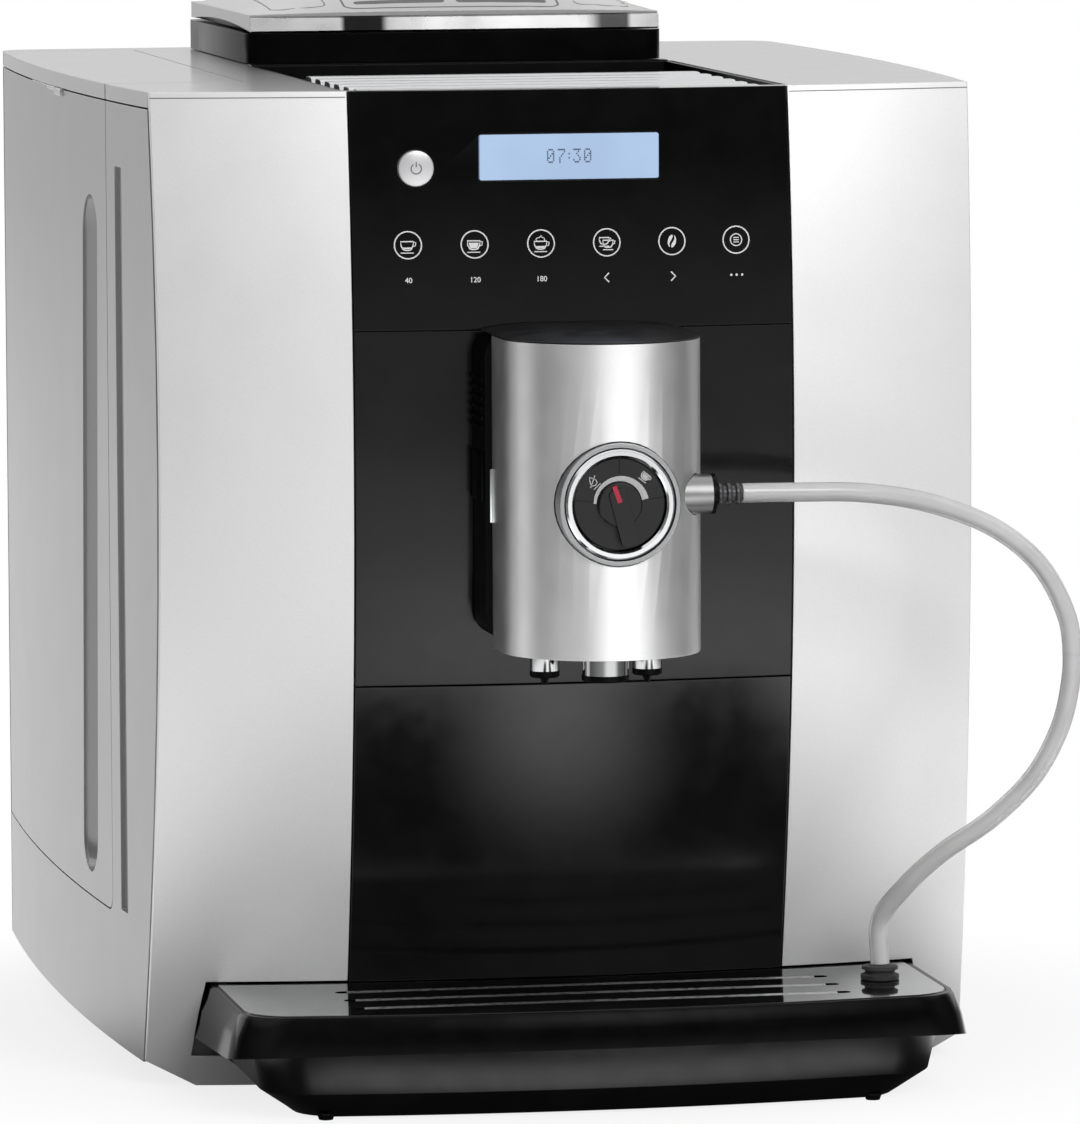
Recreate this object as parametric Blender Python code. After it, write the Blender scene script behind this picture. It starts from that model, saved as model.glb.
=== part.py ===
"""Countertop bean to cup coffee machine, in metres, +Z up, front towards -Y.

The origin is at the bottom centre of the machine. Each physical piece is its own object.
"""

import math

import bmesh
import bpy
import numpy as np
from mathutils import Matrix, Vector

# Overall size and the curved skin.
HALF_WIDTH = 0.151
FRONT_Y = -0.15206
REAR_Y = 0.2255
TOP_Z = 0.3405
SKIN_MID_Y = 0.082
FRONT_MID_Z = 0.2147
FRONT_BULGE = 0.01893
FRONT_BULGE_REACH = 0.172
PLAN_BULGE = 0.0158
PLAN_REACH = 0.144
SIDE_BULGE = 0.0105
SIDE_REACH = 0.2173
REAR_BULGE = 0.004
REAR_CORNER = 0.012

# Walls and clearances.
WALL = 0.003
THIN = 0.002
SEAT = 0.0003
SEAM = 0.0006
RUN = 0.0005
OVERRUN = 0.150

# Heights of the housing and its feet.
SIDE_BOTTOM = 0.008
LID_BAND = 0.0053
BASE_RIB = 0.010
FOOT_RADIUS = 0.0105
FOOT_BEVEL = 0.0012
FOOT_INSET = 0.0272
FOOT_X = HALF_WIDTH - FOOT_INSET
FOOT_FRONT_Y = 0.062
FOOT_REAR_GAP = 0.0355
FOOT_REAR_Y = REAR_Y - FOOT_REAR_GAP
WING_CHAMFER_X = 0.0170
WING_CHAMFER_Z = 0.0088

# Centre panels.
CENTRE_HALF = 0.0753
CONTROL_BOTTOM = 0.2605
MIDDLE_BOTTOM = 0.140
DISPLAY_X = -0.0012
DISPLAY_Z = 0.318
DISPLAY_WIDTH = 0.0615
DISPLAY_HEIGHT = 0.0153
DISPLAY_DEPTH = 0.0015
POWER_INSET = 0.0218
POWER_X = POWER_INSET - CENTRE_HALF
POWER_Z = 0.3146
POWER_RADIUS = 0.0062
POWER_PROUD = 0.0014
POWER_TRAVEL = 0.001

# Drip tray drawer.
TRAY_TOP = 0.0365
TRAY_FRONT = -0.2075
TRAY_REAR = -0.006
TRAY_LEG = 0.0235
TRAY_SPACE_HALF = HALF_WIDTH - TRAY_LEG
TRAY_SIDE_GAP = 0.0053
TRAY_HALF = TRAY_SPACE_HALF - TRAY_SIDE_GAP
TRAY_CORNER = 0.016
RIM_FLARE = 0.0045
RIM_BELLY = 0.62
RIM_WALL = 0.0018
RIM_LOW_REAR = 0.0115
RIM_LOW_FRONT = 0.024
BOWL_BOTTOM = 0.0010
BOWL_BAND = 0.0095
BOWL_LEAN = 0.0175
BOWL_TOP_SHARE = 0.17
BOWL_BAND_SHARE = 0.32
BOWL_FRONT_SHARE = 0.55
BOWL_UPRIGHT_SHARE = 0.17
PLATE_THICKNESS = 0.0022
PLATE_SLOT_END = 0.0369
PLATE_SLOT_HALF = TRAY_HALF - PLATE_SLOT_END
PLATE_SLOT_X = 0.0015
PLATE_SLOT_START = 0.0225
PLATE_SLOT_FRONT = TRAY_FRONT + PLATE_SLOT_START
PLATE_SLOT_PITCH = 0.0178
PLATE_SLOT_WIDTH = 0.0044
DRAIN_COUNT = 4
DRAIN_LENGTH = 0.050
DRAIN_END = 0.034
DRAIN_REAR = TRAY_REAR - DRAIN_END
DRAIN_FRONT = DRAIN_REAR - DRAIN_LENGTH
NUB_INSET = 0.0285
NUB_X = TRAY_HALF - NUB_INSET
NUB_SETBACK = 0.0125
NUB_RADIUS = 0.0024
GROMMET_INSET = 0.0194
GROMMET_X = TRAY_HALF - GROMMET_INSET
GROMMET_START = 0.0476
GROMMET_Y = TRAY_FRONT + GROMMET_START
GROMMET_RADIUS = 0.0066
GROMMET_HEIGHT = 0.0048
BIN_GAP = 0.006
BIN_SIDE_GAP = 0.0083
BIN_HALF = CENTRE_HALF - BIN_SIDE_GAP
BIN_REAR = TRAY_REAR - BIN_GAP
BIN_TOP = MIDDLE_BOTTOM - BIN_GAP

# Spout head.
SPOUT_Y = -0.190
SPOUT_RADIUS = 0.0335
SPOUT_WALL = 0.002
SPOUT_HEIGHT = 0.1047
SPOUT_TOP_GAP = 0.0003
SPOUT_TOP = CONTROL_BOTTOM - SPOUT_TOP_GAP
SPOUT_BOTTOM = SPOUT_TOP - SPOUT_HEIGHT
SPOUT_CAP = 0.0026
CARRIAGE_SIDE = 0.0023
CARRIAGE_HALF = SPOUT_RADIUS + CARRIAGE_SIDE
CARRIAGE_RISE = 0.011
CARRIAGE_BOTTOM = SPOUT_BOTTOM + CARRIAGE_RISE
CARRIAGE_BACKSET = 0.0165
CARRIAGE_FRONT = SPOUT_Y + CARRIAGE_BACKSET
CARRIAGE_GAP = 0.0006
TONGUE_HALF = 0.011
TONGUE_HEIGHT = 0.034
TONGUE_HEAD = 0.005
SPOUT_TRAVEL = 0.045
NOZZLE_SETOUT = 0.008
COFFEE_X = 0.0175
COFFEE_Y = SPOUT_Y + NOZZLE_SETOUT
COFFEE_RADIUS = 0.0049
MILK_Y = SPOUT_Y - NOZZLE_SETOUT
MILK_RADIUS = 0.00775
NOZZLE_LENGTH = 0.009
NOZZLE_END = SPOUT_BOTTOM - NOZZLE_LENGTH
NOZZLE_BORE_SHARE = 0.62

# Knob on the spout.
KNOB_RISE = 0.052
KNOB_Z = SPOUT_BOTTOM + KNOB_RISE
KNOB_PROUD = 0.002
KNOB_FRONT = SPOUT_Y - SPOUT_RADIUS - KNOB_PROUD
COLLAR_RADIUS = 0.0205
COLLAR_WALL = 0.0021
RING_RADIUS = COLLAR_RADIUS - COLLAR_WALL
RING_WIDTH = 0.003
DIAL_RADIUS = RING_RADIUS - RING_WIDTH
HUB_RADIUS = 0.0074
BAR_WIDTH = 0.006
BAR_HEIGHT = 0.0026
KNOB_TILT = math.radians(15)

# Hose connector and milk hose.
HOSE_SETOUT = 0.0165
HOSE_Y = SPOUT_Y - HOSE_SETOUT
HOSE_RISE = 0.0012
HOSE_Z = KNOB_Z + HOSE_RISE
BOSS_RADIUS = 0.0066
BOSS_PROUD = 0.0017
BOSS_END = SPOUT_RADIUS + BOSS_PROUD
BARB_LENGTH = 0.009
BARB_RADIUS = 0.0038
HOSE_RADIUS = 0.00325

# Top deck.
SHELF_HALF = 0.0775
SHELF_FRONT = -0.130
SHELF_REAR = 0.064
RIB_REAR = -0.008
RIB_COUNT = 6
RIB_SIDE = 0.0055
HOPPER_HALF = 0.0765
HOPPER_GAP = 0.007
HOPPER_FRONT = SHELF_REAR + HOPPER_GAP
HOPPER_REAR_GAP = 0.009
HOPPER_REAR = REAR_Y - HOPPER_REAR_GAP
HOPPER_CORNER = 0.008
HOPPER_RISE = 0.011
HOPPER_RIM = TOP_Z + HOPPER_RISE
HOPPER_DEPTH = 0.0485
HOPPER_FLOOR = TOP_Z - HOPPER_DEPTH
HOPPER_OUTLET = 0.018
LID_INSET = 0.0015
LID_HALF = HOPPER_HALF - LID_INSET
LID_FRONT = HOPPER_FRONT + LID_INSET
LID_LIFT = 0.0009
LID_LOW = HOPPER_RIM + LID_LIFT
LID_SIDE_HEIGHT = 0.0057
LID_SIDE_TOP = LID_LOW + LID_SIDE_HEIGHT
LID_CROWN_RISE = 0.0119
LID_CROWN = LID_SIDE_TOP + LID_CROWN_RISE
LID_ARCH = 0.0022
TANK_SEAM_GAP = 0.0207
TANK_SEAM_X = SHELF_HALF + TANK_SEAM_GAP

# Water tank.
TANK_FRONT = -0.0585
REAR_WRAP = 0.019
TANK_REAR = REAR_Y - REAR_WRAP
TANK_COVER_BOTTOM = 0.054
TANK_INNER_GAP = 0.0017
TANK_INNER_X = TANK_SEAM_X - TANK_INNER_GAP
TANK_TOP_GAP = 0.0135
TANK_TOP = TOP_Z - TANK_TOP_GAP
GRIP_FRONT = -0.043
GRIP_SPAN = 0.027
GRIP_DEPTH = 0.010
GRIP_LOW = 0.062
GRIP_TOP_GAP = 0.0395
GRIP_HIGH = TOP_Z - GRIP_TOP_GAP
GRIP_LEAN = 0.0105
GRIP_FLOOR_SHARE = 0.45

# Shallow trim channel on both sides.
TRIM_FRONT = -0.084
TRIM_WIDTH = 0.011
TRIM_DEPTH = 0.0012
TRIM_LOW = 0.056
TRIM_TOP_GAP = 0.0275
TRIM_HIGH = TOP_Z - TRIM_TOP_GAP

# Inside.
WALL_GAP = 0.004
WALL_X = TANK_INNER_X - WALL_GAP
DECK_Z = 0.150
DECK_FRONT = 0.102
GRINDER_SETBACK = 0.075
GRINDER_Y = HOPPER_FRONT + GRINDER_SETBACK
GRINDER_RADIUS = 0.040
MOTOR_RADIUS = 0.030
MOTOR_HEIGHT = 0.055
BREW_X = 0.004
BREW_Y = 0.052
BREW_HALF = 0.036
BREW_TOP = 0.226
PISTON_RADIUS = 0.0225
DOOR_FRONT = 0.010
DOOR_REAR = 0.120
DOOR_BOTTOM = 0.046
DOOR_TOP = 0.236
INLET_INSET = 0.065
INLET_X = HALF_WIDTH - INLET_INSET
INLET_Z = 0.042
INLET_HALF_WIDTH = 0.0105
INLET_HALF_HEIGHT = 0.0075
INLET_WALL = 0.0015
INLET_DEPTH = 0.018
PIN_THICKNESS = 0.002
PIN_WIDTH = 0.003
PIN_LENGTH = 0.0145
PIN_SHARES = ((-0.57, -0.27), (0.57, -0.27), (0.0, 0.4))
THERMO_INSET = 0.029
THERMO_WIDTH = 0.060
THERMO_FRONT = 0.118
THERMO_LENGTH = 0.072
THERMO_HEIGHT = 0.034
FIN_HEIGHT = 0.006
FIN_COUNT = 7
PUMP_INSET = 0.082
PUMP_X = HALF_WIDTH - PUMP_INSET
PUMP_FRONT = 0.115
PUMP_LENGTH = 0.070
PUMP_BASE_HALF = 0.019
PUMP_RADIUS = 0.017
PUMP_NECK_RADIUS = 0.006
BOARD_FRONT = 0.030
BOARD_TOP_GAP = 0.0355
BOARD_LENGTH = 0.140
BOARD_HEIGHT = 0.095
BOARD_LOW = TOP_Z - BOARD_TOP_GAP - BOARD_HEIGHT
CHIP_RISE = 0.006
CHIP_SHARES = (
    (0.07, 0.13, 0.21, 0.23, 1.0),
    (0.36, 0.16, 0.13, 0.19, 0.5),
    (0.57, 0.11, 0.14, 0.32, 1.0),
    (0.14, 0.58, 0.29, 0.21, 0.5),
    (0.54, 0.61, 0.36, 0.17, 0.83),
)

# Hand-chosen points of the milk hose between its connector and the grommet.
HOSE_ROUTE = (
    (0.0632, -0.2060, 0.2085),
    (0.0866, -0.2040, 0.2076),
    (0.1099, -0.2010, 0.2034),
    (0.1334, -0.1988, 0.1941),
    (0.1494, -0.1975, 0.1809),
    (0.1585, -0.1980, 0.1635),
    (0.1603, -0.1980, 0.1509),
    (0.1597, -0.1975, 0.1400),
    (0.1567, -0.1960, 0.1260),
    (0.1486, -0.1925, 0.1092),
    (0.1350, -0.1870, 0.0942),
    (0.1199, -0.1790, 0.0820),
    (0.1094, -0.1692, 0.0695),
)


# Skin surfaces.
def front_y(x, z):
    """Y of the front skin at this width and height."""
    rise = FRONT_BULGE * ((z - FRONT_MID_Z) / FRONT_BULGE_REACH) ** 2
    return FRONT_Y + rise + PLAN_BULGE * (x / PLAN_REACH) ** 2


def side_x(y):
    """Half width of the side skin at this depth."""
    return HALF_WIDTH - SIDE_BULGE * ((y - SKIN_MID_Y) / SIDE_REACH) ** 2


def corner_x(z, inset=0.0):
    """Half width where the front skin meets the side skin."""
    x = HALF_WIDTH
    for _ in range(12):
        x = side_x(front_y(x, z)) - inset
    return x


def rear_y(x):
    """Y of the rear skin at this width."""
    return REAR_Y - REAR_BULGE * (x / HALF_WIDTH) ** 2


# Materials and object helpers.
def material(name, colour, roughness, metallic=0.0):
    made = bpy.data.materials.new(name)
    made.use_nodes = True
    shader = made.node_tree.nodes["Principled BSDF"]
    shader.inputs["Base Color"].default_value = (*colour, 1.0)
    shader.inputs["Roughness"].default_value = roughness
    shader.inputs["Metallic"].default_value = metallic
    made.diffuse_color = (*colour, 1.0)
    made.roughness = roughness
    made.metallic = metallic
    return made


def finish(mesh, name, look):
    """Makes the object of a mesh, smooth apart from its real edges."""
    mesh.shade_smooth()
    mesh.set_sharp_from_angle(angle=math.radians(32))
    if look:
        mesh.materials.append(look)
    made = bpy.data.objects.new(name, mesh)
    bpy.context.scene.collection.objects.link(made)
    return made


def make(name, points, faces, look=None):
    """An object from points and faces, with every face turned outwards."""
    mesh = bpy.data.meshes.new(name)
    mesh.from_pydata([tuple(p) for p in points], [], faces)
    shell = bmesh.new()
    shell.from_mesh(mesh)
    bmesh.ops.recalc_face_normals(shell, faces=shell.faces)
    if shell.calc_volume(signed=True) < 0:
        bmesh.ops.reverse_faces(shell, faces=shell.faces)
    shell.to_mesh(mesh)
    shell.free()
    return finish(mesh, name, look)


def combine(target, others, operation):
    """Joins other solids to a solid or cuts them from it, and removes them."""
    for other in others:
        step = target.modifiers.new(operation, "BOOLEAN")
        step.operation = operation
        step.solver = "EXACT"
        step.object = other
    bpy.context.view_layer.update()
    graph = bpy.context.evaluated_depsgraph_get()
    mesh = bpy.data.meshes.new_from_object(target.evaluated_get(graph))
    target.modifiers.clear()
    old = target.data
    looks = list(old.materials)
    target.data = mesh
    mesh.materials.clear()
    for look in looks:
        mesh.materials.append(look)
    mesh.polygons.foreach_set("material_index", [0] * len(mesh.polygons))
    mesh.shade_smooth()
    mesh.set_sharp_from_angle(angle=math.radians(32))
    bpy.data.meshes.remove(old)
    for other in others:
        bpy.data.objects.remove(other)
    return target


def cut(target, *cutters):
    return combine(target, cutters, "DIFFERENCE")


def join(target, *others):
    return combine(target, others, "UNION")


def pivot(piece, point):
    """Moves an object's origin to a point and leaves its shape where it is."""
    piece.data.transform(Matrix.Translation(-Vector(point)))
    piece.location = point
    return piece


# Shape helpers.
def rings(name, loops, look=None):
    """A closed solid through loops of points, which all have the same number of points."""
    count = len(loops[0])
    points = [p for loop in loops for p in loop]
    faces = [tuple(range(count))]
    for k in range(len(loops) - 1):
        for i in range(count):
            j = (i + 1) % count
            near, far = k * count, (k + 1) * count
            faces.append((near + i, near + j, far + j, far + i))
    last = (len(loops) - 1) * count
    faces.append(tuple(last + i for i in range(count)))
    return make(name, points, faces, look)


def tunnel(name, loops, look=None):
    """A ring-shaped solid through loops, whose last loop joins the first."""
    count = len(loops[0])
    points = [p for loop in loops for p in loop]
    faces = []
    for k in range(len(loops)):
        for i in range(count):
            j = (i + 1) % count
            near = k * count
            far = ((k + 1) % len(loops)) * count
            faces.append((near + i, near + j, far + j, far + i))
    return make(name, points, faces, look)


def prism(name, outline, low, high, axis="Z", look=None):
    """A flat outline drawn out along an axis. The outline holds the other two coordinates in order."""
    order = {"X": (2, 0, 1), "Y": (0, 2, 1), "Z": (0, 1, 2)}[axis]
    loops = []
    for level in (low, high):
        flat = [(a, b, level) for a, b in outline]
        loops.append([tuple(p[i] for i in order) for p in flat])
    return rings(name, loops, look)


def box(name, low, high, look=None):
    outline = [(low[0], low[1]), (high[0], low[1]), (high[0], high[1]), (low[0], high[1])]
    return prism(name, outline, low[2], high[2], "Z", look)


def rounded(low, high, radius, steps=5):
    """Outline of a rectangle with round corners."""
    corners = ((high[0], high[1], 0), (low[0], high[1], 1), (low[0], low[1], 2), (high[0], low[1], 3))
    outline = []
    for x, y, quarter in corners:
        cx = x - math.copysign(radius, x - (low[0] + high[0]) / 2)
        cy = y - math.copysign(radius, y - (low[1] + high[1]) / 2)
        for k in range(steps + 1):
            angle = (quarter + k / steps) * math.pi / 2
            outline.append((cx + radius * math.cos(angle), cy + radius * math.sin(angle)))
    return outline


def circle(x, y, radius, steps=32, start=0.0):
    angles = [start + 2 * math.pi * k / steps for k in range(steps)]
    return [(x + radius * math.cos(a), y + radius * math.sin(a)) for a in angles]


def turned(name, profile, centre, axis="Z", steps=32, look=None):
    """A closed ring profile of (radius, height) pairs turned round an axis through a centre.

    A profile that starts and ends on the axis makes a solid without a bore.
    """
    points, faces, starts = [], [], []
    for radius, height in profile:
        starts.append(len(points))
        if radius == 0:
            points.append((0, 0, height))
        else:
            points.extend((x, y, height) for x, y in circle(0, 0, radius, steps))
    whole = profile[0][0] == 0
    spans = len(profile) - 1 if whole else len(profile)
    for k in range(spans):
        n = (k + 1) % len(profile)
        for i in range(steps):
            j = (i + 1) % steps
            if profile[k][0] == 0:
                faces.append((starts[k], starts[n] + i, starts[n] + j))
            elif profile[n][0] == 0:
                faces.append((starts[k] + i, starts[k] + j, starts[n]))
            else:
                faces.append((starts[k] + i, starts[k] + j, starts[n] + j, starts[n] + i))
    turn = {"X": (2, 0, 1), "Y": (0, 2, 1), "Z": (0, 1, 2)}[axis]
    points = [tuple(centre[a] + p[i] for a, i in enumerate(turn)) for p in points]
    return make(name, points, faces, look)


def rod(name, start, axis, length, radius, steps=24, look=None):
    return turned(name, [(0, 0), (radius, 0), (radius, length), (0, length)], start, axis, steps, look)


def skin(name, width_at, low, high, depth, thickness, across, up, look=None):
    """A slab that follows the front skin. width_at(z) gives its left and right edges."""
    outer, inner = [], []
    for k in range(up + 1):
        z = low + (high - low) * k / up
        left, right = width_at(z)
        for i in range(across + 1):
            x = left + (right - left) * i / across
            outer.append((x, front_y(x, z) + depth, z))
            inner.append((x, front_y(x, z) + depth + thickness, z))
    return slab(name, outer, inner, across, up, look)


def flank(name, side, edges_at, low, high, thickness, along, up, look=None, inset=0.0):
    """A slab that follows a side skin. side is -1 or 1, edges_at(z) its front and rear."""
    outer, inner = [], []
    for k in range(up + 1):
        z = low + (high - low) * k / up
        front, rear = edges_at(z)
        for i in range(along + 1):
            y = front + (rear - front) * i / along
            outer.append((side * (side_x(y) - inset), y, z))
            inner.append((side * (side_x(y) - inset - thickness), y, z))
    return slab(name, outer, inner, along, up, look)


def slab(name, outer, inner, wide, high, look):
    """Closes two grids of points into one solid."""
    row = wide + 1
    count = len(outer)
    faces = []
    for k in range(high):
        for i in range(wide):
            a = k * row + i
            quad = (a, a + 1, a + row + 1, a + row)
            faces.append(quad)
            faces.append(tuple(count + v for v in reversed(quad)))
    rim = [i for i in range(row)]
    rim += [k * row + wide for k in range(1, high + 1)]
    rim += [high * row + i for i in range(wide - 1, -1, -1)]
    rim += [k * row for k in range(high - 1, 0, -1)]
    for a, b in zip(rim, rim[1:] + rim[:1]):
        faces.append((a, b, count + b, count + a))
    return make(name, outer + inner, faces, look)


def plan(inset, front_inset, z, rear_inset=None, steps=12):
    """Outline of the machine seen from above, drawn in from its skin."""
    rear_inset = inset if rear_inset is None else rear_inset
    outline = []
    half = corner_x(z, inset)
    for k in range(steps + 1):
        x = -half + 2 * half * k / steps
        outline.append((x, front_y(x, z) + front_inset))
    outline += side_line(outline[-1][1], inset, rear_inset, steps)[1:]
    left = [(-x, y) for x, y in reversed(side_line(outline[0][1], inset, rear_inset, steps))]
    return outline + left[:-1]


def side_line(front, inset, rear_inset, steps=12):
    """Right half of the outline from this depth to the middle of the rear, round the corner."""
    radius = REAR_CORNER - inset
    turn_y = rear_y(HALF_WIDTH - REAR_CORNER) - REAR_CORNER
    line = []
    for k in range(steps + 1):
        y = front + (turn_y - front) * k / steps
        line.append((side_x(y) - inset, y))
    edge = line[-1][0] - radius
    for k in range(1, 6):
        angle = k / 5 * math.pi / 2
        line.append((edge + radius * math.cos(angle), turn_y + radius * math.sin(angle)))
    last = line[-1]
    for k in range(1, 5):
        x = last[0] * (1 - k / 4)
        line.append((x, rear_y(x) - rear_inset))
    return line


def tray_loop(half, front, low, corner=TRAY_CORNER, rear=TRAY_REAR):
    """Outline of the drip tray at one height, its front curved as the machine's front is.

    low is a height, or a function that gives it from the depth.
    """
    shape = []
    bend = PLAN_BULGE / PLAN_REACH**2
    for k in range(13):
        x = -half + corner + 2 * (half - corner) * k / 12
        shape.append((x, front + bend * x * x))
    cx, cy = half - corner, front + bend * (half - corner) ** 2 + corner
    right = [(cx + corner * math.sin(a), cy - corner * math.cos(a)) for a in quarter_turn()]
    left = [(-x, y) for x, y in reversed(right)]
    loop = shape[:-1] + right + [(half, rear), (-half, rear)] + left[:-1]
    height = low if callable(low) else lambda y: low
    return [(x, y, height(y)) for x, y in loop]


def quarter_turn(steps=6):
    return [math.pi / 2 * k / steps for k in range(steps + 1)]


# Housing.
def build_base(look):
    """Base pan: a floor round the tray space, with an upstand and rails for the tray."""
    low, high = SIDE_BOTTOM, SIDE_BOTTOM + WALL
    edge = WALL + SEAT
    pan = prism("base_pan", plan(edge, edge, 0), low, high + BASE_RIB, "Z", look)
    inner = prism("cut", plan(edge + WALL, edge + WALL, 0), high, high + 2 * BASE_RIB)
    pan = cut(pan, inner)
    rails = []
    for side in (-1, 1):
        near, far = sorted((side * (TRAY_SPACE_HALF + WALL), side * (TRAY_SPACE_HALF + 3 * WALL)))
        rails.append(box("rail", (near, tray_front(), low), (far, TRAY_REAR + 0.5 * WALL, TRAY_TOP)))
    pan = join(pan, *rails)
    space = box(
        "cut",
        (-TRAY_SPACE_HALF - WALL * 0.7, FRONT_Y - OVERRUN, 0),
        (TRAY_SPACE_HALF + WALL * 0.7, TRAY_REAR + RUN * 4, TRAY_TOP + OVERRUN),
    )
    return cut(pan, space)


def tray_front():
    """Depth at which the tray rails start, clear behind the bulkhead."""
    return front_y(TRAY_SPACE_HALF + 3 * WALL, SIDE_BOTTOM) + 2 * WALL + 3 * SEAT


def build_feet(look):
    feet = []
    places = {
        "front_left": (-FOOT_X, FOOT_FRONT_Y),
        "front_right": (FOOT_X, FOOT_FRONT_Y),
        "rear_left": (-FOOT_X, FOOT_REAR_Y),
        "rear_right": (FOOT_X, FOOT_REAR_Y),
    }
    top = SIDE_BOTTOM - SEAT
    for name, (x, y) in places.items():
        profile = [
            (0, 0),
            (FOOT_RADIUS - FOOT_BEVEL, 0),
            (FOOT_RADIUS, FOOT_BEVEL),
            (FOOT_RADIUS - FOOT_BEVEL / 2, top),
            (0, top),
        ]
        feet.append(turned("foot_" + name, profile, (x, y, 0), "Z", 20, look))
    return feet


def build_wing(side, look):
    """Front wing: curved plate with a leg beside the drip tray and a chamfered foot."""

    def edges(z):
        inner, outer = CENTRE_HALF + SEAM, corner_x(z)
        return (inner, outer) if side > 0 else (-outer, -inner)

    name = "front_wing_right" if side > 0 else "front_wing_left"
    wing = skin(name, edges, 0, TOP_Z, 0, WALL, 8, 16, look)
    space = prism("cut", tray_section(SEAM + SEAT), FRONT_Y - OVERRUN, 0, "Y")
    corner = corner_x(WING_CHAMFER_Z)
    wedge = [
        (corner + WING_CHAMFER_X, WING_CHAMFER_Z * 2),
        (corner - WING_CHAMFER_X, 0),
        (corner - WING_CHAMFER_X, -WING_CHAMFER_Z),
        (corner + WING_CHAMFER_X, -WING_CHAMFER_Z),
    ]
    outline = [(side * a, b) for a, b in wedge]
    chamfer = prism("cut", outline, FRONT_Y - OVERRUN, 0, "Y")
    return cut(wing, space, chamfer)


def tray_section(gap):
    """Section of the drip tray drawer seen from the front, with a gap round it, down past the floor."""
    rim = TRAY_HALF + gap
    step = RIM_LOW_REAR - gap
    half = [
        (rim + RIM_FLARE * 0.1, TRAY_TOP + SEAM),
        (rim + RIM_FLARE * RIM_BELLY, (TRAY_TOP + RIM_LOW_REAR) / 2 + SEAM),
        (rim + RIM_FLARE, RIM_LOW_REAR + SEAM),
        (rim + RIM_FLARE, step),
    ]
    edge = rim - RIM_WALL - SEAT
    band, bottom = (edge - BOWL_LEAN * share for share in (BOWL_BAND_SHARE, 1))
    slope = BOWL_LEAN * (BOWL_BAND_SHARE - BOWL_TOP_SHARE) / (RIM_LOW_FRONT - WALL - BOWL_BAND)
    half += [(band + slope * (step - BOWL_BAND), step), (band, BOWL_BAND)]
    half += [(bottom, BOWL_BOTTOM), (bottom, -WALL)]
    return half + [(-x, z) for x, z in reversed(half)]


def build_left_panel(look):
    """Left side panel: the front column and the strip under the tank cover."""

    def edges(z):
        return front_y(corner_x(z), z) + WALL + SEAM, TANK_REAR + 2 * SEAM

    top = TOP_Z - LID_BAND - SEAM
    panel = flank("side_panel_left", -1, edges, SIDE_BOTTOM, top, WALL, 16, 8, look)
    outline = rounded(
        (TANK_FRONT - SEAM, TANK_COVER_BOTTOM - SEAM),
        (TANK_REAR + OVERRUN, TOP_Z + OVERRUN),
        WALL * 2,
        5,
    )
    window = prism("cut", outline, -HALF_WIDTH - OVERRUN, -HALF_WIDTH / 2, "X")
    return cut(panel, window, trim_channel(-1))


def build_tank_cover(look):
    """Outer cover of the water tank with its long finger grip."""
    top = TOP_Z - LID_BAND - SEAM
    cover = flank(
        "tank_cover", -1, lambda z: (TANK_FRONT, TANK_REAR), TANK_COVER_BOTTOM, top, WALL, 16, 8, look
    )
    outline = rounded(
        (TANK_FRONT, TANK_COVER_BOTTOM),
        (TANK_REAR + OVERRUN, TOP_Z + OVERRUN),
        WALL * 1.8,
        5,
    )
    keep = prism("keep", outline, -HALF_WIDTH - OVERRUN, -HALF_WIDTH / 2, "X")
    combine(cover, [keep], "INTERSECT")
    join(cover, grip_solid("pocket", THIN, SEAM))
    return cut(cover, grip_solid("cut", 0, -2 * WALL))


def grip_solid(name, grow, start):
    """The finger grip as a solid: straight at its front, sloped at its rear, grown by a wall.

    start is how far below the side skin the solid begins.
    """
    wide = GRIP_SPAN + 2 * grow
    front = GRIP_FRONT - grow
    loops = []
    for depth, share in ((start, 1), (grow + WALL / 3, 1), (grow + GRIP_DEPTH, GRIP_FLOOR_SHARE)):
        radius = wide * share * 0.49
        outline = rounded((front, GRIP_LOW - grow), (front + wide * share, GRIP_HIGH + grow), radius, 6)
        lean = [(y + GRIP_LEAN * (GRIP_HIGH - z) / (GRIP_HIGH - GRIP_LOW), z) for y, z in outline]
        loops.append([(depth - side_x(y), y, z) for y, z in lean])
    return rings(name, loops)


def trim_channel(side):
    """Shallow channel in the side skin, ahead of the tank cover."""
    middle = TRIM_FRONT + TRIM_WIDTH / 2
    reach = side_x(middle)
    near, far = sorted((side * (reach - TRIM_DEPTH), side * (reach + WALL)))
    outline = rounded((TRIM_FRONT, TRIM_LOW), (TRIM_FRONT + TRIM_WIDTH, TRIM_HIGH), THIN / 2, 3)
    return prism("cut", outline, near, far, "X")


def build_right_panel(look):
    """Right side panel with the opening for the service door."""

    def edges(z):
        return front_y(corner_x(z), z) + WALL + SEAM, TANK_REAR + 2 * SEAM

    top = TOP_Z - LID_BAND - SEAM
    panel = flank("side_panel_right", 1, edges, SIDE_BOTTOM, top, WALL, 16, 8, look)
    window = prism(
        "cut",
        rounded((DOOR_FRONT, DOOR_BOTTOM), (DOOR_REAR, DOOR_TOP), 2 * WALL, 5),
        HALF_WIDTH / 2,
        HALF_WIDTH + OVERRUN,
        "X",
    )
    return cut(panel, window, trim_channel(1))


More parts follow.
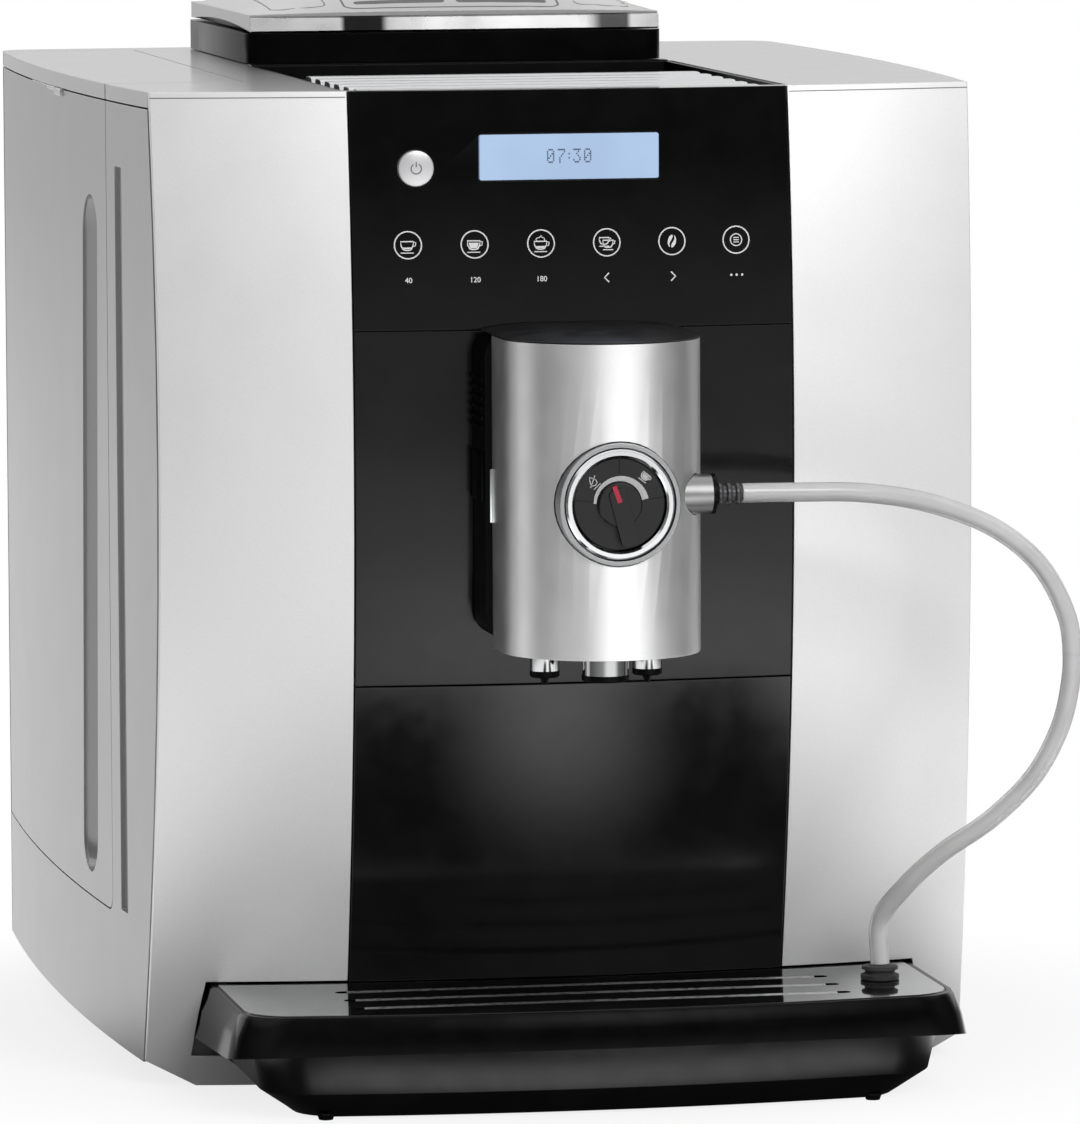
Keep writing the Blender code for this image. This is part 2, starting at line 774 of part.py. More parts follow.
def build_service_door(look):
    """Door over the brew unit, hinged at its rear edge, with a finger notch at its front."""
    door = flank(
        "service_door",
        1,
        lambda z: (DOOR_FRONT - SEAM, DOOR_REAR + SEAM),
        DOOR_BOTTOM,
        DOOR_TOP,
        WALL,
        8,
        4,
        look,
    )
    outline = rounded(
        (DOOR_FRONT + SEAM, DOOR_BOTTOM + SEAM), (DOOR_REAR - SEAM, DOOR_TOP - SEAM), 2 * WALL, 5
    )
    keep = prism("keep", outline, HALF_WIDTH / 2, HALF_WIDTH + OVERRUN, "X")
    combine(door, [keep], "INTERSECT")
    middle = (DOOR_BOTTOM + DOOR_TOP) / 2
    reach = side_x(DOOR_FRONT)
    low, high = (DOOR_FRONT + 2 * WALL, middle - 8 * WALL), (DOOR_FRONT + 6 * WALL, middle + 8 * WALL)
    notch = prism(
        "cut",
        rounded(low, high, 1.9 * WALL),
        reach - THIN,
        reach + 2 * WALL,
        "X",
    )
    cut(door, notch)
    return pivot(door, (side_x(DOOR_REAR), DOOR_REAR - SEAM, middle))


def build_back(look):
    """Back cover wrapped round both rear corners, with vent slots and the inlet opening."""
    start = TANK_REAR + 3 * SEAM
    top = TOP_Z - LID_BAND - SEAM
    outer = side_line(start, 0, 0, 2)
    inner = side_line(start, WALL, WALL, 2)
    right = outer + [(-x, y) for x, y in reversed(outer[:-1])]
    back = inner + [(-x, y) for x, y in reversed(inner[:-1])]
    cover = prism("back_cover", right + list(reversed(back)), SIDE_BOTTOM, top, "Z", look)
    slots = []
    for k in range(7):
        height = TOP_Z * 0.56 + k * 4 * WALL
        outline = rounded(
            (-HALF_WIDTH * 0.45, height), (HALF_WIDTH * 0.45, height + 1.5 * WALL), 0.7 * WALL, 3
        )
        slots.append(prism("cut", outline, REAR_Y - 8 * WALL, REAR_Y + WALL, "Y"))
    rim = INLET_WALL + 2 * SEAM
    outline = rounded(
        (INLET_X - INLET_HALF_WIDTH - rim, INLET_Z - INLET_HALF_HEIGHT - rim),
        (INLET_X + INLET_HALF_WIDTH + rim, INLET_Z + INLET_HALF_HEIGHT + rim),
        2 * THIN,
        3,
    )
    slots.append(prism("cut", outline, REAR_Y - 8 * WALL, REAR_Y + WALL, "Y"))
    return cut(cover, *slots)


def inlet_box(name, grow, back, front, look=None):
    """A box round the inlet's middle, drawn out by grow, between two depths."""
    wide, high = INLET_HALF_WIDTH + grow, INLET_HALF_HEIGHT + grow
    return box(name, (INLET_X - wide, back, INLET_Z - high), (INLET_X + wide, front, INLET_Z + high), look)


def build_inlet(look):
    """Three-pin mains inlet, its flange behind the back cover."""
    face = rear_y(INLET_X + INLET_HALF_WIDTH + 2 * WALL) - WALL - SEAT
    inlet = inlet_box("power_inlet", 2.5 * WALL, face - THIN, face, look)
    body = inlet_box("body", INLET_WALL, face - INLET_DEPTH - THIN, face - THIN / 2)
    join(inlet, body)
    cut(inlet, inlet_box("cut", 0, face - INLET_DEPTH, face + THIN))
    pins = []
    for across, up in PIN_SHARES:
        x, z = INLET_X + across * INLET_HALF_WIDTH, INLET_Z + up * INLET_HALF_HEIGHT
        root = face - INLET_DEPTH
        low = (x - PIN_THICKNESS / 2, root - THIN / 2, z - PIN_WIDTH / 2)
        high = (x + PIN_THICKNESS / 2, root + PIN_LENGTH, z + PIN_WIDTH / 2)
        pins.append(box("pin", low, high))
    return join(inlet, *pins)


def build_top(look):
    """Top cover with openings for the cup shelf and the hopper, and a bay for the tank lid."""
    low = TOP_Z - LID_BAND
    cover = prism("top_cover", plan(0, WALL + SEAT, TOP_Z), low, TOP_Z, "Z", look)
    under, over = low - OVERRUN, TOP_Z + OVERRUN
    shelf = prism("cut", rounded((-SHELF_HALF, SHELF_FRONT), (SHELF_HALF, SHELF_REAR), WALL, 3), under, over)
    gap = THIN + 2 * SEAT
    near, far = (-HOPPER_HALF + gap, HOPPER_FRONT + gap), (HOPPER_HALF - gap, HOPPER_REAR - gap)
    hole = prism("cut", rounded(near, far, HOPPER_CORNER, 4), under, over)
    bay = box(
        "cut",
        (-HALF_WIDTH - OVERRUN, TANK_FRONT - SEAM, low - WALL),
        (-TANK_SEAM_X, TANK_REAR + SEAM, TOP_Z + WALL),
    )
    return cut(cover, shelf, hole, bay)


def build_tank_lid(look):
    """Flap over the water tank, hinged along its inner edge."""
    low = TOP_Z - LID_BAND
    line = []
    for k in range(13):
        y = TANK_FRONT + SEAM + (TANK_REAR - TANK_FRONT - 2 * SEAM) * k / 12
        line.append((-side_x(y), y))
    inner = -TANK_SEAM_X - SEAM
    outline = [(inner, TANK_FRONT + SEAM)] + line + [(inner, TANK_REAR - SEAM)]
    lid = prism("tank_lid", outline, low, TOP_Z, "Z", look)
    return pivot(lid, (inner, (TANK_FRONT + TANK_REAR) / 2, TOP_Z))


def build_control_panel(look):
    panel = skin(
        "control_panel", lambda z: (-CENTRE_HALF, CENTRE_HALF), CONTROL_BOTTOM, TOP_Z, 0, WALL, 10, 6, look
    )
    face = front_y(0, DISPLAY_Z)
    pocket = prism(
        "cut",
        rounded(
            (DISPLAY_X - DISPLAY_WIDTH / 2 - SEAT, DISPLAY_Z - DISPLAY_HEIGHT / 2 - SEAT),
            (DISPLAY_X + DISPLAY_WIDTH / 2 + SEAT, DISPLAY_Z + DISPLAY_HEIGHT / 2 + SEAT),
            SEAT * 2,
            2,
        ),
        face - WALL,
        face + DISPLAY_DEPTH + SEAT,
        "Y",
    )
    hole = rod("cut", (POWER_X, face - WALL, POWER_Z), "Y", 4 * WALL, POWER_RADIUS + SEAT, 32)
    return cut(panel, pocket, hole)


def build_display(look):
    face = front_y(0, DISPLAY_Z)
    outline = rounded(
        (DISPLAY_X - DISPLAY_WIDTH / 2, DISPLAY_Z - DISPLAY_HEIGHT / 2),
        (DISPLAY_X + DISPLAY_WIDTH / 2, DISPLAY_Z + DISPLAY_HEIGHT / 2),
        SEAT * 2,
        2,
    )
    return prism("display_window", outline, face - SEAT, face + DISPLAY_DEPTH, "Y", look)


def build_power_button(look):
    """Round button with a softened rim and a stem that reaches through the bulkhead."""
    face = front_y(POWER_X, POWER_Z)
    edge = POWER_PROUD / 3
    profile = [
        (0, -POWER_PROUD),
        (POWER_RADIUS - 2 * edge, -POWER_PROUD),
        (POWER_RADIUS - edge / 2, -POWER_PROUD + edge / 2),
        (POWER_RADIUS, -POWER_PROUD + 2 * edge),
        (POWER_RADIUS, WALL - 2 * POWER_TRAVEL),
        (POWER_RADIUS / 2, WALL - 2 * POWER_TRAVEL),
        (POWER_RADIUS / 2, 3 * WALL),
        (0, 3 * WALL),
    ]
    button = turned("power_button", profile, (POWER_X, face, POWER_Z), "Y", 32, look)
    return pivot(button, (POWER_X, face - POWER_PROUD, POWER_Z))


def front_gate(z_low, z_high, half):
    """Cutter through the front walls between two heights."""
    return box("cut", (-half, FRONT_Y - OVERRUN, z_low), (half, 0, z_high))


def tongue_span():
    """Lowest and highest point of the carriage tongue at rest."""
    top = SPOUT_TOP - 3 * WALL
    return top - TONGUE_HEIGHT, top


def build_middle_panel(look):
    low, high = tongue_span()
    panel = skin(
        "middle_panel",
        lambda z: (-CENTRE_HALF, CENTRE_HALF),
        MIDDLE_BOTTOM,
        CONTROL_BOTTOM - SEAM,
        0,
        WALL,
        10,
        8,
        look,
    )
    slot = front_gate(low - SPOUT_TRAVEL - RUN, high + RUN, TONGUE_HALF + RUN)
    return cut(panel, slot)


def build_bulkhead(look):
    """Inner front wall that carries the panels, open for the bin, the tray, the spout and the button."""
    low, high = tongue_span()
    depth = WALL + SEAT

    def edges(z):
        half = corner_x(z, depth + SIDE_BULGE / 8)
        return -half, half

    wall = skin(
        "front_bulkhead",
        edges,
        SIDE_BOTTOM + WALL + BASE_RIB + SEAT,
        TOP_Z - LID_BAND - SEAT,
        depth,
        WALL,
        12,
        12,
        look,
    )
    slot = front_gate(low - SPOUT_TRAVEL - RUN, high + RUN, TONGUE_HALF + RUN)
    bin_gate = front_gate(0, MIDDLE_BOTTOM + SEAT, CENTRE_HALF + SEAM)
    tray_gate = front_gate(0, TRAY_TOP + 2 * SEAM, TRAY_SPACE_HALF + WALL)
    face = front_y(POWER_X, POWER_Z)
    hole = rod("cut", (POWER_X, face, POWER_Z), "Y", 6 * WALL, POWER_RADIUS / 2 + SEAT, 24)
    return cut(wall, slot, bin_gate, tray_gate, hole)


# Top deck pieces.
def build_shelf_recess(look):
    """Black tray that carries the cup shelf."""
    low = TOP_Z - LID_BAND + SEAT
    edge = SEAT
    tray = prism(
        "shelf_recess",
        rounded((-SHELF_HALF + edge, SHELF_FRONT + edge), (SHELF_HALF - edge, SHELF_REAR - edge), WALL, 3),
        low - THIN,
        TOP_Z - SEAT,
        "Z",
        look,
    )
    inside = prism(
        "cut",
        rounded(
            (-SHELF_HALF + edge + THIN, SHELF_FRONT + edge + THIN),
            (SHELF_HALF - edge - THIN, SHELF_REAR - edge - THIN),
            THIN / 2,
            3,
        ),
        low,
        TOP_Z + WALL,
    )
    return cut(tray, inside)


def build_cup_shelf(look):
    """Metal cup shelf with raised ribs across the machine."""
    front = SHELF_FRONT + THIN + 2 * SEAT + THIN
    pitch = (RIB_REAR - front) / RIB_COUNT
    floor = TOP_Z - LID_BAND + 2 * SEAT
    base, top = floor + THIN * 0.6, TOP_Z - SEAT
    outline = [(front, floor)]
    for k in range(RIB_COUNT):
        start = front + k * pitch
        rib = pitch * 0.62
        outline += [(start, base), (start + pitch * 0.08, top - THIN / 4), (start + pitch * 0.16, top)]
        outline += [(start + rib - pitch * 0.08, top), (start + rib, top - THIN / 4)]
        outline.append((start + rib + pitch * 0.08, base))
    outline += [(RIB_REAR, base), (RIB_REAR, floor)]
    half = SHELF_HALF - THIN - 2 * SEAT - RIB_SIDE
    return prism("cup_shelf", outline, -half, half, "X", look)


def hopper_loop(inset, z, corner):
    outline = rounded(
        (-HOPPER_HALF + inset, HOPPER_FRONT + inset), (HOPPER_HALF - inset, HOPPER_REAR - inset), corner, 4
    )
    return [(x, y, z) for x, y in outline]


def round_loop(radius, z, count=20):
    """A round loop that has its points in the same order as hopper_loop."""
    return [(x, GRINDER_Y + y, z) for x, y in circle(0, 0, radius, count, math.pi / count)]


def build_hopper(look):
    """Bean hopper: a skirt on the top cover, sloped walls and a round outlet."""
    under = TOP_Z + SEAT
    neck = THIN + 4 * SEAT
    count = len(hopper_loop(0, 0, HOPPER_CORNER))
    loops = [
        hopper_loop(neck + THIN, HOPPER_RIM, HOPPER_CORNER),
        hopper_loop(0, HOPPER_RIM, HOPPER_CORNER),
        hopper_loop(0, under, HOPPER_CORNER),
        hopper_loop(neck, under, HOPPER_CORNER),
        hopper_loop(neck, TOP_Z - 2 * LID_BAND, HOPPER_CORNER),
        round_loop(HOPPER_OUTLET + THIN, HOPPER_FLOOR - THIN, count),
        round_loop(HOPPER_OUTLET + THIN, HOPPER_FLOOR - 6 * WALL, count),
        round_loop(HOPPER_OUTLET, HOPPER_FLOOR - 6 * WALL, count),
        round_loop(HOPPER_OUTLET, HOPPER_FLOOR, count),
        hopper_loop(neck + THIN, TOP_Z - 2 * LID_BAND, HOPPER_CORNER),
    ]
    return tunnel("bean_hopper", loops, look)


def lid_height(x, y):
    """Height of the crowned lid above its side edge."""
    mid = (LID_FRONT + HOPPER_REAR) / 2
    u = abs(x) / LID_HALF
    v = abs(y - mid) / ((HOPPER_REAR - LID_FRONT) / 2)
    return LID_SIDE_TOP + (LID_CROWN - LID_SIDE_TOP) * (1 - u**2.4) ** 0.8 * (1 - min(v, 1) ** 2.2) ** 0.9


def build_hopper_lid(look):
    """Crowned lid with finger grips arched into its side edges and a recessed top panel."""
    across, along = 16, 12
    front = LID_FRONT + THIN + SEAT
    top, bottom = [], []
    for k in range(along + 1):
        y = front + (HOPPER_REAR - SEAM - front) * k / along
        for i in range(across + 1):
            u = -1 + 2 * i / across
            x = LID_HALF * math.sin(u * math.pi / 2 * 0.999)
            arch = LID_ARCH * math.sin(math.pi * k / along) if i in (0, across) else 0
            top.append((x, y, lid_height(x, y)))
            bottom.append((x, y, HOPPER_RIM + 2 * SEAT + arch))
    lid = slab("hopper_lid", top, bottom, across, along, look)
    near, far = (-LID_HALF + 2 * WALL, front + 2 * WALL), (LID_HALF - 2 * WALL, HOPPER_REAR - 3 * WALL)
    inner = prism("cut", rounded(near, far, WALL, 3), HOPPER_RIM - WALL, HOPPER_RIM + WALL)
    return cut(lid, inner)


def build_lid_front(look):
    """Bright band across the front edge of the lid."""
    outline = [
        (LID_FRONT, LID_LOW),
        (LID_FRONT + THIN, LID_LOW - 2 * SEAT),
        (LID_FRONT + THIN, LID_SIDE_TOP - 2 * SEAT),
        (LID_FRONT + SEAT, LID_SIDE_TOP - 4 * SEAT),
    ]
    return prism("lid_front_band", outline, -LID_HALF, LID_HALF, "X", look)


# Drip tray drawer.
def rim_low(y):
    """Lower edge of the tray rim: it rises towards the front."""
    wing = front_y(TRAY_HALF, RIM_LOW_REAR)
    share = (wing - y) / (wing - TRAY_FRONT)
    return RIM_LOW_REAR + (RIM_LOW_FRONT - RIM_LOW_REAR) * min(1.0, max(0.0, share))


def build_tray_rim(look):
    top = TRAY_TOP - SEAT
    half, flare, wall = TRAY_HALF, RIM_FLARE, RIM_WALL

    def mid(y):
        return (top + rim_low(y)) / 2

    loops = [
        tray_loop(half + flare, TRAY_FRONT - flare * 0.6, rim_low),
        tray_loop(half + flare * RIM_BELLY, TRAY_FRONT - flare * 0.45, mid),
        tray_loop(half + flare * 0.1, TRAY_FRONT - flare * 0.08, top - WALL / 3),
        tray_loop(half - flare * 0.05, TRAY_FRONT + flare * 0.05, top),
        tray_loop(half - wall, TRAY_FRONT + wall, top, rear=TRAY_REAR - wall),
        tray_loop(half + flare * RIM_BELLY - wall, TRAY_FRONT - flare * 0.45 + wall, mid, rear=TRAY_REAR - wall),
        tray_loop(half + flare - wall, TRAY_FRONT - flare * 0.6 + wall, rim_low, rear=TRAY_REAR - wall),
    ]
    return tunnel("tray_rim", loops, look)


def build_tray_bowl(look):
    """Open bowl under the plate, with two small feet at its front."""
    half = TRAY_HALF - RIM_WALL - SEAT
    front = TRAY_FRONT + RIM_WALL + SEAT
    rear = TRAY_REAR - RIM_WALL - SEAT
    top = TRAY_TOP - PLATE_THICKNESS - SEAT
    lip = top - WALL
    deep = BOWL_BOTTOM

    def loop(z, share, front_share, grow=0.0):
        side = BOWL_LEAN * share + grow
        return tray_loop(half - side, front + BOWL_LEAN * front_share + grow, z, rear=rear - side * 0.3)

    upright = RIM_LOW_FRONT - WALL
    loops = [
        loop(deep, 1, BOWL_FRONT_SHARE),
        loop(deep + WALL * 0.6, 0.87, BOWL_FRONT_SHARE * 0.8),
        loop(BOWL_BAND, BOWL_BAND_SHARE, BOWL_UPRIGHT_SHARE),
        loop(upright, BOWL_TOP_SHARE, BOWL_UPRIGHT_SHARE * 0.7),
        loop(lip, BOWL_TOP_SHARE * 0.9, BOWL_UPRIGHT_SHARE * 0.65),
        loop(lip, 0, 0),
        loop(top, 0, 0),
        loop(top, BOWL_TOP_SHARE * 0.9, BOWL_UPRIGHT_SHARE * 0.65, THIN),
        loop(upright, BOWL_TOP_SHARE, BOWL_UPRIGHT_SHARE * 0.7, THIN),
        loop(BOWL_BAND + THIN / 2, BOWL_BAND_SHARE, BOWL_UPRIGHT_SHARE, THIN),
        loop(deep + THIN, 0.87, BOWL_FRONT_SHARE * 0.8, 1.5 * THIN),
    ]
    bowl = rings("tray_bowl", loops, look)
    nubs = []
    nub_y = TRAY_FRONT + PLAN_BULGE * (NUB_X / PLAN_REACH) ** 2 + NUB_SETBACK
    for side in (-1, 1):
        profile = [(0, 0), (NUB_RADIUS, 0), (NUB_RADIUS * 1.3, deep + THIN / 2), (0, deep + THIN / 2)]
        nubs.append(turned("nub", profile, (side * NUB_X, nub_y, 0), "Z", 12))
    return join(bowl, *nubs)


def build_tray_plate(look):
    """Polished plate with long slots at the front and drain holes under the bin."""
    low, high = TRAY_TOP - PLATE_THICKNESS, TRAY_TOP
    half = TRAY_HALF - RIM_WALL - SEAT
    front = TRAY_FRONT + RIM_WALL + SEAT
    rear = TRAY_REAR - RIM_WALL - SEAT
    plate = rings(
        "tray_plate",
        [
            tray_loop(half, front, low, rear=rear),
            tray_loop(half, front, high - SEAT, rear=rear),
            tray_loop(half - SEAT, front + SEAT, high, rear=rear),
        ],
        look,
    )
    cutters = []
    for k in range(3):
        y = PLATE_SLOT_FRONT + k * PLATE_SLOT_PITCH
        outline = rounded(
            (PLATE_SLOT_X - PLATE_SLOT_HALF, y - PLATE_SLOT_WIDTH / 2),
            (PLATE_SLOT_X + PLATE_SLOT_HALF, y + PLATE_SLOT_WIDTH / 2),
            PLATE_SLOT_WIDTH * 0.49,
            4,
        )
        cutters.append(prism("cut", outline, low - WALL, high + WALL))
    for k in range(DRAIN_COUNT):
        x = (k - (DRAIN_COUNT - 1) / 2) * BIN_HALF / 2
        outline = rounded((x - WALL, DRAIN_FRONT), (x + WALL, DRAIN_REAR), WALL * 0.9, 3)
        cutters.append(prism("cut", outline, low - WALL, high + WALL))
    cutters.append(rod("cut", (GROMMET_X, GROMMET_Y, low - WALL), "Z", 4 * WALL, GROMMET_RADIUS * 0.72, 24))
    return cut(plate, *cutters)


def build_grommet(look):
    """Two-flanged rubber grommet that parks the hose in the plate."""
    r, h = GROMMET_RADIUS, GROMMET_HEIGHT
    top = TRAY_TOP + SEAT
    neck = r * 0.72 - SEAT
    under = TRAY_TOP - PLATE_THICKNESS - SEAT
    profile = [
        (0, under - WALL / 3),
        (neck, under - WALL / 3),
        (neck, top),
        (r, top),
        (r, top + h * 0.3),
        (r * 0.78, top + h * 0.42),
        (r * 0.78, top + h * 0.6),
        (r * 0.95, top + h * 0.7),
        (r * 0.92, top + h * 0.92),
        (r * 0.7, top + h),
        (0, top + h),
    ]
    return turned("hose_grommet", profile, (GROMMET_X, GROMMET_Y, 0), "Z", 24, look)


def build_lower_panel(look):
    return skin(
        "lower_panel",
        lambda z: (-CENTRE_HALF, CENTRE_HALF),
        TRAY_TOP + SEAT,
        MIDDLE_BOTTOM - SEAM,
        0,
        WALL,
        10,
        8,
        look,
    )


def build_bin(look):
    """Grounds container: open box whose front follows the lower panel."""
    low = TRAY_TOP + SEAT

    def loop(inset, z):
        shape = []
        half = BIN_HALF - inset
        for k in range(9):
            x = -half + 2 * half * k / 8
            shape.append((x, front_y(x, max(z, low)) + WALL + SEAT + inset, z))
        return shape + [(half, BIN_REAR - inset, z), (-half, BIN_REAR - inset, z)]

    levels = [low + (BIN_TOP - low) * k / 4 for k in range(5)]
    loops = [loop(0, z) for z in levels]
    loops += [loop(THIN, z) for z in reversed(levels[1:])] + [loop(THIN, low + THIN)]
    return rings("grounds_bin", loops, look)


# Spout head.
def spout_outline(radius, back, steps=20):
    """Half round towards the front with straight sides to the back."""
    outline = [(-radius, back)]
    for k in range(steps + 1):
        angle = math.pi + math.pi * k / steps
        outline.append((radius * math.cos(angle), SPOUT_Y + radius * math.sin(angle)))
    return outline + [(radius, back)]


def build_spout_shell(look):
    outer = spout_outline(SPOUT_RADIUS, CARRIAGE_FRONT - SEAT)
    inner = spout_outline(SPOUT_RADIUS - SPOUT_WALL, CARRIAGE_FRONT - SEAT)
    outline = outer + list(reversed(inner))
    shell = prism("spout_shell", outline, SPOUT_BOTTOM, SPOUT_TOP, "Z", look)
    hole = rod("cut", (0, SPOUT_Y - OVERRUN, KNOB_Z), "Y", OVERRUN, COLLAR_RADIUS + SEAT, 40)
    port = rod("cut", (0, HOSE_Y, HOSE_Z), "X", 2 * SPOUT_RADIUS, BOSS_RADIUS + SEAT, 24)
    return cut(shell, hole, port)


def build_carriage(look):
    """Black carriage: block behind the shell, core inside it, and a tongue through the slot."""
    back = FRONT_Y - CARRIAGE_GAP
    low, high = tongue_span()
    outline = rounded((-CARRIAGE_HALF, CARRIAGE_BOTTOM), (CARRIAGE_HALF, SPOUT_TOP - SEAM), 2 * WALL, 4)
    block = prism("spout_carriage", outline, CARRIAGE_FRONT, back, "Y", look)
    inside = spout_outline(SPOUT_RADIUS - SPOUT_WALL - SEAT, CARRIAGE_FRONT + THIN)
    core = prism("core", inside, SPOUT_BOTTOM + 2 * WALL, SPOUT_TOP - SEAT)
    head_front = FRONT_Y + 2 * WALL + 2 * SEAT + RUN + bulge_behind(low, high)
    neck = box("neck", (-TONGUE_HALF, back - THIN, low), (TONGUE_HALF, head_front + TONGUE_HEAD / 2, high))
    head = box(
        "head",
        (-2 * TONGUE_HALF, head_front, low),
        (2 * TONGUE_HALF, head_front + TONGUE_HEAD, high),
    )
    carriage = join(block, core, neck, head)
    start = (0, KNOB_FRONT + collar_depth() - OVERRUN, KNOB_Z)
    seat = rod("cut", start, "Y", OVERRUN + SEAT, COLLAR_RADIUS + 2 * SEAT, 40)
    return cut(carriage, seat)


def bulge_behind(low, high):
    """How far the bulkhead comes back behind the carriage head over its whole travel."""
    ends = (low - SPOUT_TRAVEL, high)
    return max(front_y(2 * TONGUE_HALF, z) for z in ends) - FRONT_Y


def collar_depth():
    return COLLAR_RADIUS * 0.55


def build_spout_cap(look):
    """Domed dark cap on the shell and the carriage."""
    low = SPOUT_TOP + SEAT
    back = FRONT_Y - CARRIAGE_GAP
    loops = []
    for share_in, share in ((0, 0), (0, 0.15), (0.08, 0.42), (0.25, 0.75), (0.5, 1)):
        inset = SPOUT_RADIUS * share_in
        outline = spout_outline(SPOUT_RADIUS - inset, back - inset * 0.2)
        loops.append([(x, y, low + SPOUT_CAP * share) for x, y in outline])
    return rings("spout_cap", loops, look)


def build_nozzle(name, x, y, radius, look):
    top = SPOUT_BOTTOM + 2 * WALL - SEAT
    bore = radius * NOZZLE_BORE_SHARE
    profile = [
        (0, NOZZLE_END + 2 * WALL),
        (bore, NOZZLE_END + 2 * WALL),
        (bore, NOZZLE_END),
        (radius * 0.92, NOZZLE_END),
        (radius, NOZZLE_END + THIN / 2),
        (radius, top),
        (0, top),
    ]
    return turned(name, profile, (x, y, 0), "Z", 24, look)


def build_collar(look):
    """Satin collar round the knob: a cup that opens to the front."""
    depth = collar_depth()
    front = KNOB_FRONT + THIN / 2
    profile = [
        (0, KNOB_FRONT + depth),
        (COLLAR_RADIUS, KNOB_FRONT + depth),
        (COLLAR_RADIUS, front + SEAT),
        (COLLAR_RADIUS - SEAT, front),
        (RING_RADIUS + RUN, front),
        (RING_RADIUS + RUN, KNOB_FRONT + depth - WALL),
        (0, KNOB_FRONT + depth - WALL),
    ]
    return turned("knob_collar", profile, (0, 0, KNOB_Z), "Y", 48, look)


def build_knob_ring(look):
    front = KNOB_FRONT + THIN / 4
    back = KNOB_FRONT + collar_depth() - WALL - SEAT
    inner = DIAL_RADIUS + SEAT
    profile = [
        (inner, back),
        (RING_RADIUS, back),
        (RING_RADIUS, front + THIN / 3),
        (RING_RADIUS - THIN / 3, front),
        (inner + THIN / 3, front),
        (inner, front + THIN / 3),
    ]
    ring = turned("knob_ring", profile, (0, 0, KNOB_Z), "Y", 48, look)
    return pivot(ring, (0, KNOB_FRONT, KNOB_Z))


def build_dial(look):
    """Black dial with a round hub and a bar grip, turned a little to the left as it was left."""
    front = KNOB_FRONT + BAR_HEIGHT
    back = KNOB_FRONT + collar_depth() - WALL - SEAT
    edge = [(DIAL_RADIUS - SEAT, front), (DIAL_RADIUS, front + SEAT), (DIAL_RADIUS, back)]
    dial = turned("knob_dial", [(0, front), *edge, (0, back)], (0, 0, KNOB_Z), "Y", 48, look)
    hub = turned(
        "hub",
        [
            (0, KNOB_FRONT + BAR_HEIGHT * 0.3),
            (HUB_RADIUS * 0.94, KNOB_FRONT + BAR_HEIGHT * 0.3),
            (HUB_RADIUS, KNOB_FRONT + BAR_HEIGHT * 0.45),
            (HUB_RADIUS, front + BAR_HEIGHT / 2),
            (0, front + BAR_HEIGHT / 2),
        ],
        (0, 0, KNOB_Z),
        "Y",
        32,
    )
    low, high = (-BAR_WIDTH / 2, -DIAL_RADIUS * 0.92), (BAR_WIDTH / 2, HUB_RADIUS * 0.7)
    bar = prism("bar", rounded(low, high, BAR_WIDTH * 0.3, 4), KNOB_FRONT, front + BAR_HEIGHT / 3, "Y")
    bar.data.transform(Matrix.Rotation(-KNOB_TILT, 4, "Y"))
    bar.data.transform(Matrix.Translation((0, 0, KNOB_Z)))
    join(bar, hub)
    join(dial, bar)
    return pivot(dial, (0, KNOB_FRONT, KNOB_Z))


def build_boss(look):
    """Round boss that leaves the shell sideways, ahead of its widest line, and ends inside its wall."""
    start = SPOUT_RADIUS / 2
    profile = [
        (0, start),
        (BOSS_RADIUS, start),
        (BOSS_RADIUS, BOSS_END - THIN / 2),
        (BOSS_RADIUS - THIN / 2, BOSS_END),
        (0, BOSS_END),
    ]
    boss = turned("hose_boss", profile, (0, HOSE_Y, HOSE_Z), "X", 28, look)
    inside = spout_outline(SPOUT_RADIUS - SPOUT_WALL, CARRIAGE_FRONT - SEAT)
    return cut(boss, prism("cut", inside, SPOUT_BOTTOM, SPOUT_TOP))


def build_barb(look):
    """Connector with three barbs that the hose end meets."""
    start = BOSS_END + SEAT
    step = BARB_LENGTH / 3
    small = BARB_RADIUS * 0.74
    profile = [(0, start), (small, start)]
    for k in range(3):
        near = start + k * step
        profile += [(small, near + step * 0.2), (BARB_RADIUS, near + step * 0.35)]
        profile += [(BARB_RADIUS, near + step * 0.6), (small, near + step * 0.9)]
    profile += [(small, start + BARB_LENGTH), (0, start + BARB_LENGTH)]
    return turned("hose_barb", profile, (0, HOSE_Y, HOSE_Z), "X", 20, look)


# Milk hose.
def hose_knots():
    start = Vector((BOSS_END + BARB_LENGTH + 2 * SEAT, HOSE_Y, HOSE_Z))
    end = Vector((GROMMET_X, GROMMET_Y, TRAY_TOP + GROMMET_HEIGHT + 2 * SEAT))
    first = start + Vector((2 * HOSE_RADIUS, 0, 0))
    last = end + Vector((0, 0, 4.5 * HOSE_RADIUS))
    return [start, first, *[Vector(p) for p in HOSE_ROUTE], last, end]


def smooth_route(knots, samples=24):
    """Points of a smooth curve through the knots (centripetal Catmull-Rom)."""
    ends = [2 * knots[0] - knots[1], *knots, 2 * knots[-1] - knots[-2]]
    line = []
    for a, b, c, d in zip(ends, ends[1:], ends[2:], ends[3:]):
        t1 = (b - a).length ** 0.5
        t2 = t1 + (c - b).length ** 0.5
        t3 = t2 + (d - c).length ** 0.5
        for k in range(samples):
            t = t1 + (t2 - t1) * k / samples
            p = a * ((t1 - t) / t1) + b * (t / t1)
            q = b * ((t2 - t) / (t2 - t1)) + c * ((t - t1) / (t2 - t1))
            r = c * ((t3 - t) / (t3 - t2)) + d * ((t - t2) / (t3 - t2))
            u = p * ((t2 - t) / t2) + q * (t / t2)
            v = q * ((t3 - t) / (t3 - t1)) + r * ((t - t1) / (t3 - t1))
            line.append(u * ((t2 - t) / (t2 - t1)) + v * ((t - t1) / (t2 - t1)))
    line.append(knots[-1])
    return line


